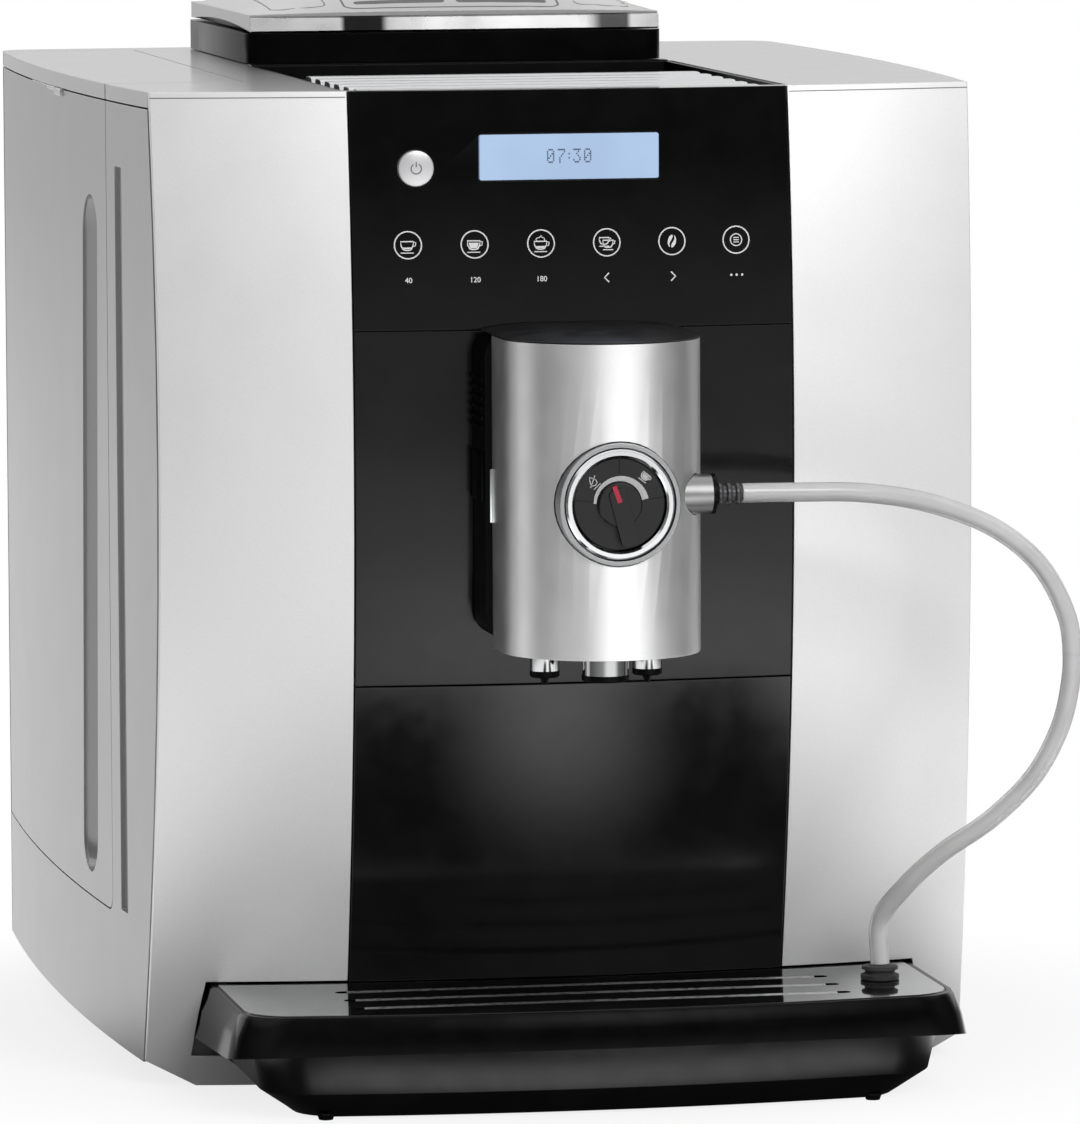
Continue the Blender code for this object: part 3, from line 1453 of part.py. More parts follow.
def evenly(line, spacing):
    """Points at even steps along a line of points, its ends kept."""
    at = np.array([tuple(p) for p in line])
    run = np.concatenate([[0], np.cumsum(np.linalg.norm(np.diff(at, axis=0), axis=1))])
    count = max(2, round(run[-1] / spacing))
    wanted = np.linspace(0, run[-1], count + 1)
    return [tuple(float(np.interp(w, run, at[:, i])) for i in range(3)) for w in wanted]


def build_hose(look):
    route = evenly(smooth_route(hose_knots()), HOSE_RADIUS * 4)
    curve = bpy.data.curves.new("milk_hose", "CURVE")
    curve.dimensions = "3D"
    curve.bevel_depth = HOSE_RADIUS
    curve.bevel_resolution = 3
    curve.use_fill_caps = True
    spline = curve.splines.new("POLY")
    spline.points.add(len(route) - 1)
    for point, place in zip(spline.points, route):
        point.co = (*place, 1.0)
    curve.materials.append(look)
    hose = bpy.data.objects.new("milk_hose", curve)
    bpy.context.scene.collection.objects.link(hose)
    return hose


# Water tank.
def tank_loop(inset, z):
    """Outline of the tank, its outer wall following the side skin."""
    front = GRIP_FRONT + GRIP_SPAN + GRIP_LEAN + 2 * THIN + inset
    rear = TANK_REAR - 2 * WALL - inset
    outer = WALL + SEAT + inset
    line = []
    for k in range(9):
        y = front + (rear - front) * k / 8
        line.append((-(side_x(y) - outer), y, z))
    inner = -TANK_INNER_X - inset
    return [(inner, front, z)] + line + [(inner, rear, z)]


def build_tank(look):
    low = TANK_COVER_BOTTOM + 2 * SEAT
    loops = [
        tank_loop(THIN, low),
        tank_loop(0, low + THIN),
        tank_loop(0, TANK_TOP),
        tank_loop(THIN, TANK_TOP),
        tank_loop(THIN, low + 2 * THIN),
        tank_loop(2 * THIN, low + THIN),
    ]
    return rings("water_tank", loops, look)


# Inside.
def build_chassis(look):
    """Chassis: tank wall, tank shelf and machine deck in one piece with two legs."""
    low = SIDE_BOTTOM + WALL + SEAT
    top = TOP_Z - LID_BAND - SEAT
    rear = REAR_Y - REAR_BULGE - WALL - 2 * SEAT - WALL
    front = TRAY_REAR + 2 * WALL
    wall = box("chassis", (-WALL_X, front, low), (-WALL_X + WALL, rear - 2 * WALL, top), look)
    shelf = box(
        "shelf",
        (-side_x(SKIN_MID_Y) + 4 * WALL, front, TANK_COVER_BOTTOM + SEAT - WALL),
        (-WALL_X + THIN, rear - 4 * WALL, TANK_COVER_BOTTOM + SEAT),
    )
    near = (-WALL_X + WALL / 2, DECK_FRONT, DECK_Z - WALL)
    deck = box("deck", near, (side_x(rear) - 5 * WALL, rear - 2 * WALL, DECK_Z))
    legs = []
    for y in (DECK_FRONT + WALL / 3, rear - 6 * WALL):
        x = side_x(rear) - 8 * WALL
        legs.append(box("leg", (x, y, low), (x + 2 * WALL, y + 3 * WALL, DECK_Z - WALL / 2)))
    under = BREW_TOP + 2 * SEAT
    near = (-WALL_X + WALL / 2, front, under)
    ledge = box("ledge", near, (BREW_X + BREW_HALF, front + 2 * WALL, under + WALL))
    return join(wall, shelf, deck, *legs, ledge)


def build_grinder(look_body, look_metal, look_motor):
    """Motor, grinder housing with a bore for the burr, and the toothed burr cone."""
    motor_low = DECK_Z + SEAT
    housing_low = DECK_Z + MOTOR_HEIGHT
    housing_top = HOPPER_FLOOR - 6 * WALL - SEAT
    motor = turned(
        "grinder_motor",
        [
            (0, motor_low),
            (MOTOR_RADIUS, motor_low),
            (MOTOR_RADIUS, housing_low - 2 * WALL),
            (MOTOR_RADIUS * 0.7, housing_low - SEAT),
            (0, housing_low - SEAT),
        ],
        (0, GRINDER_Y, 0),
        "Z",
        32,
        look_motor,
    )
    burr_radius = GRINDER_RADIUS * 0.5
    floor = housing_low + 4 * WALL
    housing = turned(
        "grinder_housing",
        [
            (0, housing_low),
            (GRINDER_RADIUS * 0.8, housing_low),
            (GRINDER_RADIUS, housing_low + 3 * WALL),
            (GRINDER_RADIUS, housing_top - 4 * WALL),
            (HOPPER_OUTLET + 3 * WALL, housing_top),
            (HOPPER_OUTLET, housing_top),
            (HOPPER_OUTLET, housing_top - 4 * WALL),
            (burr_radius + WALL, housing_top - 5 * WALL),
            (burr_radius + WALL, floor),
            (0, floor),
        ],
        (0, GRINDER_Y, 0),
        "Z",
        40,
        look_body,
    )
    points = []
    steps = 24
    levels = (
        (burr_radius, floor + RUN),
        (burr_radius, floor + 3 * WALL),
        (burr_radius * 0.35, housing_top - 7 * WALL),
    )
    for k, (radius, z) in enumerate(levels):
        for i in range(steps):
            tooth = 1.0 if i % 2 else 0.84
            angle = 2 * math.pi * i / steps + k * 0.12
            points.append((radius * tooth * math.cos(angle), GRINDER_Y + radius * tooth * math.sin(angle), z))
    loops = [points[k * steps : (k + 1) * steps] for k in range(3)]
    burr = rings("grinding_burr", loops, look_metal)
    pivot(burr, (0, GRINDER_Y, floor + RUN))
    return motor, housing, burr


def build_brew_unit(look, look_metal):
    """Brew unit: a frame with a bored cylinder and a piston that travels in it."""
    low = SIDE_BOTTOM + WALL + SEAT
    x0, x1 = BREW_X - BREW_HALF, BREW_X + BREW_HALF
    y0, y1 = BREW_Y - BREW_HALF, BREW_Y + BREW_HALF
    frame = prism("brew_unit", rounded((x0, y0), (x1, y1), 2 * WALL, 4), low, BREW_TOP, "Z", look)
    bore_low = low + 12 * WALL
    bore = rod("cut", (BREW_X, BREW_Y, bore_low), "Z", BREW_TOP, PISTON_RADIUS + SEAT * 1.5, 32)
    near = (x0 - WALL, BREW_Y - PISTON_RADIUS, bore_low + 26 * WALL)
    window = box("cut", near, (x1 + WALL, BREW_Y + PISTON_RADIUS * 0.2, BREW_TOP - 4 * WALL))
    cut(frame, bore, window)
    piston = turned(
        "brew_piston",
        [
            (0, bore_low + SEAT),
            (PISTON_RADIUS, bore_low + SEAT),
            (PISTON_RADIUS, bore_low + 6 * WALL),
            (PISTON_RADIUS * 0.5, bore_low + 7 * WALL),
            (PISTON_RADIUS * 0.5, bore_low + 14 * WALL),
            (0, bore_low + 14 * WALL),
        ],
        (BREW_X, BREW_Y, 0),
        "Z",
        28,
        look_metal,
    )
    pivot(piston, (BREW_X, BREW_Y, bore_low + SEAT))
    return frame, piston


def build_thermoblock(look):
    """Heating block with cooling fins, on the deck."""
    low = DECK_Z + SEAT
    top = low + THERMO_HEIGHT
    right = HALF_WIDTH - THERMO_INSET
    left = right - THERMO_WIDTH
    outline = rounded((left, THERMO_FRONT), (right, THERMO_FRONT + THERMO_LENGTH), 4 * WALL, 4)
    block = prism("thermoblock", outline, low, top, "Z", look)
    pitch = (THERMO_LENGTH - 4 * WALL) / FIN_COUNT
    fins = []
    for k in range(FIN_COUNT):
        y = THERMO_FRONT + 2 * WALL + k * pitch
        near = (left + WALL, y, top - THIN / 2)
        far = (right - WALL, y + THIN, top + FIN_HEIGHT)
        fins.append(box("fin", near, far))
    return join(block, *fins)


def build_pump(look):
    """Pump on its stand, on the base pan."""
    low = SIDE_BOTTOM + WALL + SEAT
    rear = PUMP_FRONT + PUMP_LENGTH
    axis = low + PUMP_RADIUS + 5 * WALL
    base = (PUMP_X - PUMP_BASE_HALF, PUMP_FRONT, low), (PUMP_X + PUMP_BASE_HALF, rear, low + WALL)
    pump = box("pump", *base, look)
    foot = 2 * WALL
    near = (PUMP_X - foot, PUMP_FRONT + 3 * WALL, low + WALL / 2)
    stand = box("stand", near, (PUMP_X + foot, rear - 3 * WALL, axis))
    barrel = rod("barrel", (PUMP_X, PUMP_FRONT - WALL, axis), "Y", PUMP_LENGTH + 2 * WALL, PUMP_RADIUS, 28)
    neck = rod("neck", (PUMP_X, PUMP_FRONT - 4 * WALL, axis), "Y", 4 * WALL, PUMP_NECK_RADIUS, 16)
    return join(pump, stand, barrel, neck)


def build_board(look):
    """Circuit board with its chips, on the tank wall."""
    x = -WALL_X + WALL + SEAT
    sheet = THIN * 0.8
    far = (x + sheet, BOARD_FRONT + BOARD_LENGTH, BOARD_LOW + BOARD_HEIGHT)
    board = box("circuit_board", (x, BOARD_FRONT, BOARD_LOW), far, look)
    chips = []
    for along, up, wide, high, rise in CHIP_SHARES:
        y, z = BOARD_FRONT + along * BOARD_LENGTH, BOARD_LOW + up * BOARD_HEIGHT
        high_corner = (x + sheet + rise * CHIP_RISE, y + wide * BOARD_LENGTH, z + high * BOARD_HEIGHT)
        chips.append(box("chip", (x + sheet / 2, y, z), high_corner))
    return join(board, *chips)


def main():
    for old in list(bpy.data.objects):
        bpy.data.objects.remove(old)
    silver = material("silver_side_paint", (0.42, 0.43, 0.44), 0.38, 0.35)
    wing = material("silver_wing_satin", (0.66, 0.67, 0.69), 0.32, 0.55)
    gloss = material("black_gloss_plastic", (0.012, 0.012, 0.014), 0.08)
    smoke = material("grey_gloss_plastic", (0.035, 0.035, 0.04), 0.12)
    matt = material("black_matt_plastic", (0.02, 0.02, 0.022), 0.45)
    grey = material("grey_plastic", (0.16, 0.16, 0.17), 0.45)
    chrome = material("chrome", (0.82, 0.83, 0.85), 0.06, 1.0)
    satin = material("satin_aluminium", (0.68, 0.69, 0.71), 0.25, 1.0)
    steel = material("polished_steel", (0.62, 0.62, 0.63), 0.12, 1.0)
    glow = material("display_blue", (0.42, 0.58, 0.83), 0.25)
    rubber = material("black_rubber", (0.02, 0.02, 0.02), 0.8)
    clear = material("smoked_clear_plastic", (0.45, 0.5, 0.55), 0.12)
    silicone = material("clear_silicone", (0.55, 0.56, 0.57), 0.3)
    green = material("green_board", (0.03, 0.2, 0.08), 0.5)
    build_base(matt)
    build_feet(rubber)
    build_wing(-1, wing)
    build_wing(1, wing)
    build_left_panel(silver)
    build_tank_cover(silver)
    build_right_panel(silver)
    build_service_door(silver)
    build_back(grey)
    build_inlet(matt)
    build_top(silver)
    build_tank_lid(silver)
    build_control_panel(gloss)
    build_display(glow)
    build_power_button(satin)
    build_middle_panel(smoke)
    build_bulkhead(matt)
    build_shelf_recess(matt)
    build_cup_shelf(satin)
    build_hopper(matt)
    build_hopper_lid(silver)
    build_lid_front(chrome)
    build_tray_rim(gloss)
    build_tray_bowl(smoke)
    build_tray_plate(steel)
    build_grommet(rubber)
    build_lower_panel(gloss)
    build_bin(matt)
    build_carriage(matt)
    build_spout_shell(satin)
    build_spout_cap(smoke)
    build_nozzle("coffee_nozzle_left", -COFFEE_X, COFFEE_Y, COFFEE_RADIUS, chrome)
    build_nozzle("coffee_nozzle_right", COFFEE_X, COFFEE_Y, COFFEE_RADIUS, chrome)
    build_nozzle("milk_nozzle", 0, MILK_Y, MILK_RADIUS, chrome)
    build_collar(satin)
    build_knob_ring(chrome)
    build_dial(gloss)
    build_boss(satin)
    build_barb(silicone)
    build_hose(silicone)
    build_tank(clear)
    build_chassis(grey)
    build_grinder(grey, steel, matt)
    build_brew_unit(grey, steel)
    build_thermoblock(satin)
    build_pump(matt)
    build_board(green)


main()
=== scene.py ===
"""Looks of the bean to cup coffee machine: hose, finishes, printed marks, light and camera.

Everything is in metres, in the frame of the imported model: +Z up, front towards -Y.
"""

from math import cos, pi, radians, sin, sqrt

import bmesh
import bpy
from mathutils import Matrix, Vector


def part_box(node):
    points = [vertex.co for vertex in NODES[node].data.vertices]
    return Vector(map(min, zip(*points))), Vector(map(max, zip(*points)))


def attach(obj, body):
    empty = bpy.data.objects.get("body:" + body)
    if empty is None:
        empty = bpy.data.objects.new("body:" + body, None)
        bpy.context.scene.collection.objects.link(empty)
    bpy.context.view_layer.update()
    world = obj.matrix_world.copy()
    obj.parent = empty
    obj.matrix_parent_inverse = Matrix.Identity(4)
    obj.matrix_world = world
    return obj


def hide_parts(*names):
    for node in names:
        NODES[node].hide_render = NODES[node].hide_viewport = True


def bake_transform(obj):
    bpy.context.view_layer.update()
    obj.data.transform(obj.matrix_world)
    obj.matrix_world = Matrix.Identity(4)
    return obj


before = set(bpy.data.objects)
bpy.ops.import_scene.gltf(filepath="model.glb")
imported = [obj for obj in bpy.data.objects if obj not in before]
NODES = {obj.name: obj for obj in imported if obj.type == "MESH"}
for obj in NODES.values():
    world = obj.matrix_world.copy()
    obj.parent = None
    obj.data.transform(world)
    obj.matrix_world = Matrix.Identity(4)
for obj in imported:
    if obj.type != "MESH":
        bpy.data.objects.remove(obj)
MM = 0.001

# Camera, as the photograph was taken.
CAMERA_PLACE = Vector((-0.55193, -2.94684, 0.47689))
CAMERA_LOOK = Vector((0.18829, 0.97667, -0.10322))
CAMERA_ROLL = -0.0044
CAMERA_LENS = 271.4
SENSOR = 36.0

# Milk hose: its radius, its bore, the gap at its ends, the listed points that the part's source has
# too, and how many spans of its curve the upper piece has.
HOSE_RADIUS = 3.25 * MM
HOSE_BORE = 1.7 * MM
HOSE_GAP = 0.3 * MM
HOSE_ROUTE = (
    (0.0632, -0.2060, 0.2085), (0.0866, -0.2040, 0.2076), (0.1099, -0.2010, 0.2034),
    (0.1334, -0.1988, 0.1941), (0.1494, -0.1975, 0.1809), (0.1585, -0.1980, 0.1635),
    (0.1603, -0.1980, 0.1509), (0.1597, -0.1975, 0.1400), (0.1567, -0.1960, 0.1260),
    (0.1486, -0.1925, 0.1092), (0.1350, -0.1870, 0.0942), (0.1199, -0.1790, 0.0820),
    (0.1094, -0.1692, 0.0695),
)
HOSE_SPLIT = 8

# Smooth shading of CAD surfaces: triangles that meet at less than this angle are one surface.
WELD = 0.002 * MM
SOFT_ANGLE = radians(24)
SHARP_ANGLE = radians(35)

# Painted shade lines under the top edge of the wings: how far below the top, how wide, and their ends out from the
# middle.
SEAM_DROP = 1.9 * MM
SEAM_WIDTH = 0.35 * MM
SEAM_ENDS = (76.4 * MM, 141.2 * MM)

# Lower end of the spout's black carriage: its corners seen from the front, its depth and its rounding.
FOOT_LOW = (-35.86 * MM, 158.3 * MM)
FOOT_HIGH = (35.86 * MM, 182.0 * MM)
FOOT_DEPTH = (-173.2 * MM, -152.8 * MM)
FOOT_ROUND = 6 * MM

# Finger ridges and pads on the carriage's sides, and bright tabs beside the shell: spans along the axes.
GRIP_X = (35.4 * MM, 36.5 * MM)
GRIP_Y = (-0.1705, -0.1535)
GRIP_TOP = 0.2455
GRIP_PITCH = 3.27 * MM
GRIP_HALF = 0.75 * MM
PAD_X = (35.4 * MM, 36.6 * MM)
PAD_Z = (0.2040, 0.2205)
TAB_X = (33.2 * MM, 34.5 * MM)
TAB_Y = (-0.1752, -0.1736)
TAB_Z = (0.1975, 0.2155)

# Black tips of the nozzles: shares of the nozzle's radius, and millimetres above its lower end.
TIP_RING = ((0, 1.8), (0.98, 1.8), (1.02, 1.7), (1.02, -0.05), (0.90, -0.5), (0.70, -0.6))
TIP_MILK = ((0.58, -0.6), (0.54, 1.2), (0, 1.2))
TIP_COFFEE = ((0.34, -0.7), (0.26, -1.7), (0.16, -3.1), (0, -3.1))

# Slots of the tray plate: where each is along Y, where the lips in them end along X, and a lip's section.
SLOT_PLACES = (-0.185, -0.1672, -0.1494)
SLOT_LIP_ENDS = (-0.0795, 0.0825)
SLOT_LIP = ((2.1, -0.25), (-1.7, -2.3), (-1.9, -2.0), (2.0, 0.0))

# Dark strips beside the tray's bowl: how far in from the plate's end they start, and their other sides.
BAY_INSET = 15.8 * MM
BAY_REACH = 124 * MM
BAY_Y = (-90 * MM, -8 * MM)
BAY_Z = (0.3 * MM, 1.2 * MM)

# Slots of the hopper lid, drawn as painted shade: their spans along X, the first one's front edge, their pitch and
# half their width.
LID_SLOT_X = (2.2 * MM, 35.5 * MM)
LID_SLOT_Y = 82.5 * MM
LID_SLOT_PITCH = 6.6 * MM
LID_SLOT_HALF = 1.6 * MM

# Screws of the back cover: where they are, and a head's profile in millimetres.
SCREW_PLACES = ((-0.120, 0.030), (0.120, 0.030), (-0.120, 0.318), (0.120, 0.318), (0.0, 0.030))
SCREW_HEAD = ((0, -1.0), (2.2, -1.0), (3.4, 0.15), (3.1, 0.45), (1.3, 0.62), (1.0, 0.2), (0, 0.0))

# Beans in the hopper: how many, half their size, where the heap's middle is and how far it reaches.
BEAN_COUNT = 150
BEAN_SIZE = (5.4 * MM, 3.9 * MM, 2.6 * MM, 1.0)
HEAP_MIDDLE = (0.0, 0.146, 0.3235)
HEAP_REACH = 56 * MM

# Printed marks on the control panel; sizes of icons are in millimetres.
PRINT_RISE = 0.06 * MM
ICON_Z = 0.289
ICON_PLACES = (-56.7, -34.2, -11.6, 11.0, 33.6, 56.1)
ICON_RING = 4.55
ICON_STROKE = 0.43 * MM
LABEL_Z = 0.2772
LABEL_HEIGHT = 1.75 * MM
LABELS = (("cup_size_small", "40"), ("cup_size_medium", "120"), ("cup_size_large", "180"))
CHEVRON = 1.55
MENU_DOT = 0.42
MENU_DOT_PITCH = 1.9 * MM

# Cups of the icons: which ring, how far right and up in it, the share that is full, width and height.
ICON_CUPS = (
    (0, -0.3, -0.25, 0.32, 4.3, 2.9),
    (1, -0.3, -0.25, 0.78, 4.3, 2.9),
    (2, -0.2, -0.6, 0.4, 4.3, 2.6),
    (3, -0.9, 0.5, 0, 3.4, 2.2),
    (3, 0.4, -0.5, 0, 3.5, 2.4),
)
CUP_BOWL = ((-1, 0.5), (-0.94, 0), (-0.62, -0.42), (-0.3, -0.5), (0.3, -0.5), (0.62, -0.42), (0.94, 0), (1, 0.5))
CUP_HANDLE = ((1, 0.42), (1.36, 0.40), (1.3, 0), (0.96, -0.06))
CUP_SAUCER = ((-1.02, -0.82), (1.02, -0.82))
FOAM_UP = -0.6
FOAM = ((-1.5, 1.5), (-1.7, 2), (-1.2, 2.5), (-0.6, 2.5), (0.2, 3.3), (0.3, 2.7), (0.9, 2.5), (1.3, 2), (1.2, 1.5))
DROP = ((0, 1.9), (0.75, 0.7), (1.15, -0.2), (0.95, -1), (0, -1.45), (-0.95, -1), (-1.15, -0.2), (-0.75, 0.7))

# Marks of the milk knob, out from its middle.
CRESCENT_STEPS = 30
DROP_PLACE = (-8.9 * MM, 7.6 * MM)
CUP_PLACE = (8.6 * MM, 9.0 * MM)
GROOVES = ((90, 9.9), (174, 9.3), (8, 10.4))
GROOVE_END = 14.9
ORIGIN = (0.0, 0.0)

# Dot-matrix digits of the display: seven rows of five dots, and a colon of one column.
CLOCK = "07:30"
DIGITS = {
    "0": "01110 10001 10011 10101 11001 10001 01110",
    "7": "11111 00001 00010 00100 01000 01000 01000",
    "3": "11111 00010 00100 00010 00001 10001 01110",
    ":": "0 0 1 0 1 0 0",
}
DOT = 0.42 * MM
DOT_TALL = DOT * 1.3
DOT_PITCH_X = 0.52 * MM
DOT_PITCH_Z = 0.70 * MM
DIGIT_GAP = 1.1 * MM

# What gloss and metal mirror to the sides: brightness by direction, in degrees from the object's front.
SIDES = (
    (-180, 1.0), (-140, 1.0), (-110, 0.06), (-72, 0.22), (-30, 0.45),
    (40, 0.28), (75, 0.22), (105, 0.06), (140, 1.0), (180, 1.0),
)

# What they mirror in front: bright towards the floor and darker upwards, round this direction.
FRONT_ANGLE = radians(17)
FRONT_HALF = (radians(14), radians(46))

# Dark aisle of the floor that the lower panel mirrors, and the soft lit patch in it.
AISLE_RUN = (0.188, -0.977)
AISLE_START = -0.20
AISLE_HALF = (0.15, 0.21)
AISLE_ENDS = (-0.61, -0.55)
AISLE_LEVEL = 0.02
PATCH_PLACE = (0.064, -0.53)
PATCH_SIZE = (0.105, 0.29)
PATCH_TURN = radians(9)
PATCH_LEVEL = 2.0

# Lit strip of the floor that the tray's bowl mirrors: where it grows and fades, its middle, half and level.
TRAY_GLOW_IN = (-0.285, -0.255)
TRAY_GLOW_OUT = (-0.238, -0.222)
TRAY_GLOW_MIDDLE = 0.012
TRAY_GLOW_HALF = (0.105, 0.130)
TRAY_GLOW_LEVEL = 1.25

# Floor behind the machine and to its left: the directions, the places along X and along Y where it begins.
REAR_TURN = (2.1, 2.6)
REAR_X = (-0.3, 0.0)
REAR_Y = (-0.20, 0.1)

# How bright the floor near the machine looks in front and beside, in what mirrors it.
NEAR_GLOW = 1.45
NEAR_SIDES = 1.6

# Lamps: name, place, size, power, and share in light that has met more than one surface.
LAMP_TARGET = Vector((0.0, 0.0, 0.17))
LAMPS = (
    ("key_front", (0.68, -2.3, 1.6), (1.1, 0.9), 46.0, 0.006),
    ("fill_left", (-1.4, 1.5, 0.8), (1.2, 1.0), 4.5, 1.0),
    ("fill_right", (1.6, 1.3, 0.9), (1.0, 1.2), 3.0, 1.0),
    ("top", (0.0, 0.5, 2.0), (1.6, 1.4), 3.0, 1.0),
)


# Node helpers; an owner is a material, world, light, node group or socket.
def grey(level):
    return (level, level, level)


def tree_of(owner):
    return owner.node_tree if hasattr(owner, "node_tree") else owner.id_data


def principled(owner):
    return tree_of(owner).nodes["Principled BSDF"]


def join(out, into):
    tree_of(out).links.new(out, into)


def feed(value, socket):
    """Sets a socket to a value, or links it to another socket."""
    if isinstance(value, bpy.types.NodeSocket):
        join(value, socket)
    else:
        socket.default_value = value


def fill(node, values):
    """Sets or links a node's sockets by names in which _ stands for a blank."""
    for name, value in values.items():
        feed(value, node.inputs[name.replace("_", " ")])


def add(owner, kind, **values):
    """A new node, for shaders if kind doesn't say; capitalised names are its sockets, the others its settings."""
    node = tree_of(owner).nodes.new(kind if "Node" in kind else "ShaderNode" + kind)
    for name in [name for name in values if name[0].islower()]:
        setattr(node, name, values.pop(name))
    fill(node, values)
    return node


def shader(name, colour, roughness, metallic=0.0, **sockets):
    """A material with a Principled shader; other sockets are given by name."""
    made = bpy.data.materials.new(name)
    made.use_nodes = True
    fill(principled(made), {"Base_Color": (*colour, 1.0), "Roughness": roughness, "Metallic": metallic, **sockets})
    return made


def object_place(owner):
    return add(owner, "TexCoord").outputs["Object"]


def noise(owner, size, detail=3.0, stretch=(1, 1, 1)):
    """Noise whose grains are about size across in millimetres, stretched along the axes with small shares."""
    place = add(owner, "Mapping", Vector=object_place(owner), Scale=stretch)
    grains = add(owner, "TexNoise", Vector=place.outputs[0], Scale=1 / (size * MM), Detail=detail)
    return grains.outputs["Fac"]


def spread(value, low, high, start=0.35, end=0.65):
    """Maps a value between start and end to one between low and high."""
    ends = {"From_Min": start, "From_Max": end, "To_Min": low, "To_Max": high}
    return add(value, "MapRange", Value=value, **ends).outputs["Result"]


def fade(value, low, high, start, end):
    """As spread, with soft ends."""
    out = spread(value, low, high, start, end)
    out.node.interpolation_type = "SMOOTHSTEP"
    return out


def compute(operation, first, second=0.0):
    """Result of a Math node on a socket and a socket or number."""
    node = add(first, "Math", operation=operation)
    feed(first, node.inputs[0])
    feed(second, node.inputs[1])
    return node.outputs[0]


def times(first, second):
    return compute("MULTIPLY", first, second)


def higher(first, second):
    return compute("MAXIMUM", first, second)


def apart(value, middle=0.0):
    return compute("ABSOLUTE", compute("SUBTRACT", value, middle))


def between(share, first, second):
    """Number between two, each a socket or a number."""
    node = add(share, "Mix")
    for socket, value in ((0, share), (2, first), (3, second)):
        feed(value, node.inputs[socket])
    return node.outputs[0]


def parts_of(vector):
    return add(vector, "SeparateXYZ", Vector=vector).outputs


def tone_ramp(value, stops, start, end):
    """Tone by a value that runs from start to end, through stops of share and tone."""
    ramp = add(value, "ValToRGB", Fac=spread(value, 0.0, 1.0, start, end))
    spots = ramp.color_ramp.elements
    while len(spots) < len(stops):
        spots.new(0.5)
    for spot, (share, tone) in zip(spots, stops):
        spot.position = share
        spot.color = (*grey(tone), 1.0)
    return ramp.outputs["Color"]


def blend_colour(share, first, second):
    """Colour between two, one of which may be a socket, as the Base Color."""
    node = add(share, "Mix", data_type="RGBA")
    for socket, value in ((0, share), (6, first), (7, second)):
        feed((*value, 1.0) if isinstance(value, tuple) else value, node.inputs[socket])
    join(node.outputs[2], principled(share).inputs["Base Color"])
    return node.outputs[2]


def vary(value, first, second):
    """Base Color that wanders between two colours."""
    return blend_colour(spread(value, 0, 1), first, second)


def mottle(value, colour, share):
    """Base Color between a darker share of a colour and the colour itself."""
    return vary(value, tuple(share * c for c in colour), colour)


def rough(value, low, high):
    join(spread(value, low, high), principled(value).inputs["Roughness"])


def relief(height, depth, strength=1.0, edge=0.0):
    """Bump from a height, over edges that are rounded by edge; both sizes are in millimetres."""
    bump = add(height, "Bump", Strength=strength, Distance=depth * MM, Height=height)
    if edge:
        join(rounded_edge(height, edge), bump.inputs["Normal"])
    join(bump.outputs["Normal"], principled(height).inputs["Normal"])


def rounded_edge(owner, radius):
    return add(owner, "Bevel", samples=4, Radius=radius * MM).outputs["Normal"]


def wear(owner, radius):
    """A share that is 1 on sharp edges and 0 on faces."""
    dot = add(owner, "VectorMath", operation="DOT_PRODUCT")
    join(rounded_edge(owner, radius), dot.inputs[0])
    join(add(owner, "NewGeometry").outputs["Normal"], dot.inputs[1])
    return spread(dot.outputs["Value"], 1.0, 0.0, 0.75, 1.0)


# Materials; the sizes in them are in millimetres.
def satin_paint(name, colour, pale, roughness, metallic, coat=0.25):
    """Silver paint: fine metal flakes, a faint orange-peel skin and paler worn edges."""
    made = shader(name, colour, roughness, metallic, Coat_Weight=coat, Coat_Roughness=0.12)
    base = mottle(noise(made, 0.25, 1.0), colour, 0.93)
    blend_colour(wear(made, 0.5), base, pale)
    rough(noise(made, 22), roughness * 0.97, roughness * 1.03)
    relief(noise(made, 1.6, 2.0), 0.004, 0.25, 0.5)
    return made


def gloss_plastic(name, colour, edge, roughness, skin=0.35, ior=1.5):
    """High-gloss plastic: almost flat, with hairline haze and a lighter softened edge."""
    made = shader(name, colour, roughness, IOR=ior)
    lift = tuple(c * 1.25 + 0.001 for c in colour)
    base = vary(noise(made, 14, 4.0), colour, lift)
    blend_colour(wear(made, skin), base, edge)
    rough(noise(made, 9, 3.0), roughness * 0.88, roughness * 1.12)
    relief(noise(made, 9, 1.0), 0.006, 0.25, skin)
    return made


def grained_plastic(name, colour, edge, roughness, grain=0.5):
    """Moulded matt plastic with a fine spark-eroded grain."""
    made = shader(name, colour, roughness)
    lumps = noise(made, grain, 4.0)
    lift = tuple(c * 1.06 for c in colour)
    base = vary(noise(made, 30), colour, lift)
    blend_colour(wear(made, 0.4), base, edge)
    rough(lumps, roughness * 0.85, roughness * 1.15)
    relief(lumps, 0.05, 0.35, 0.3)
    return made


def brushed_metal(name, colour, roughness, stretch):
    """Metal with brush lines along the axis that stretch keeps small."""
    made = shader(name, colour, roughness, 1.0)
    lines = noise(made, 0.3, 3.0, stretch)
    blend_colour(wear(made, 0.25), mottle(lines, colour, 0.9), (0.86, 0.86, 0.87))
    rough(lines, roughness * 0.85, roughness * 1.2)
    relief(lines, 0.006, 0.4, 0.25)
    return made


def blasted_metal(name, colour, roughness):
    """Bead-blasted and anodised metal: fine even grain and a clean satin sheen."""
    made = shader(name, colour, roughness, 0.92)
    grain = noise(made, 0.22, 2.0)
    blend_colour(wear(made, 0.3), mottle(grain, colour, 0.95), (0.90, 0.90, 0.91))
    rough(noise(made, 12), roughness * 0.94, roughness * 1.06)
    relief(grain, 0.006, 0.35, 0.3)
    return made


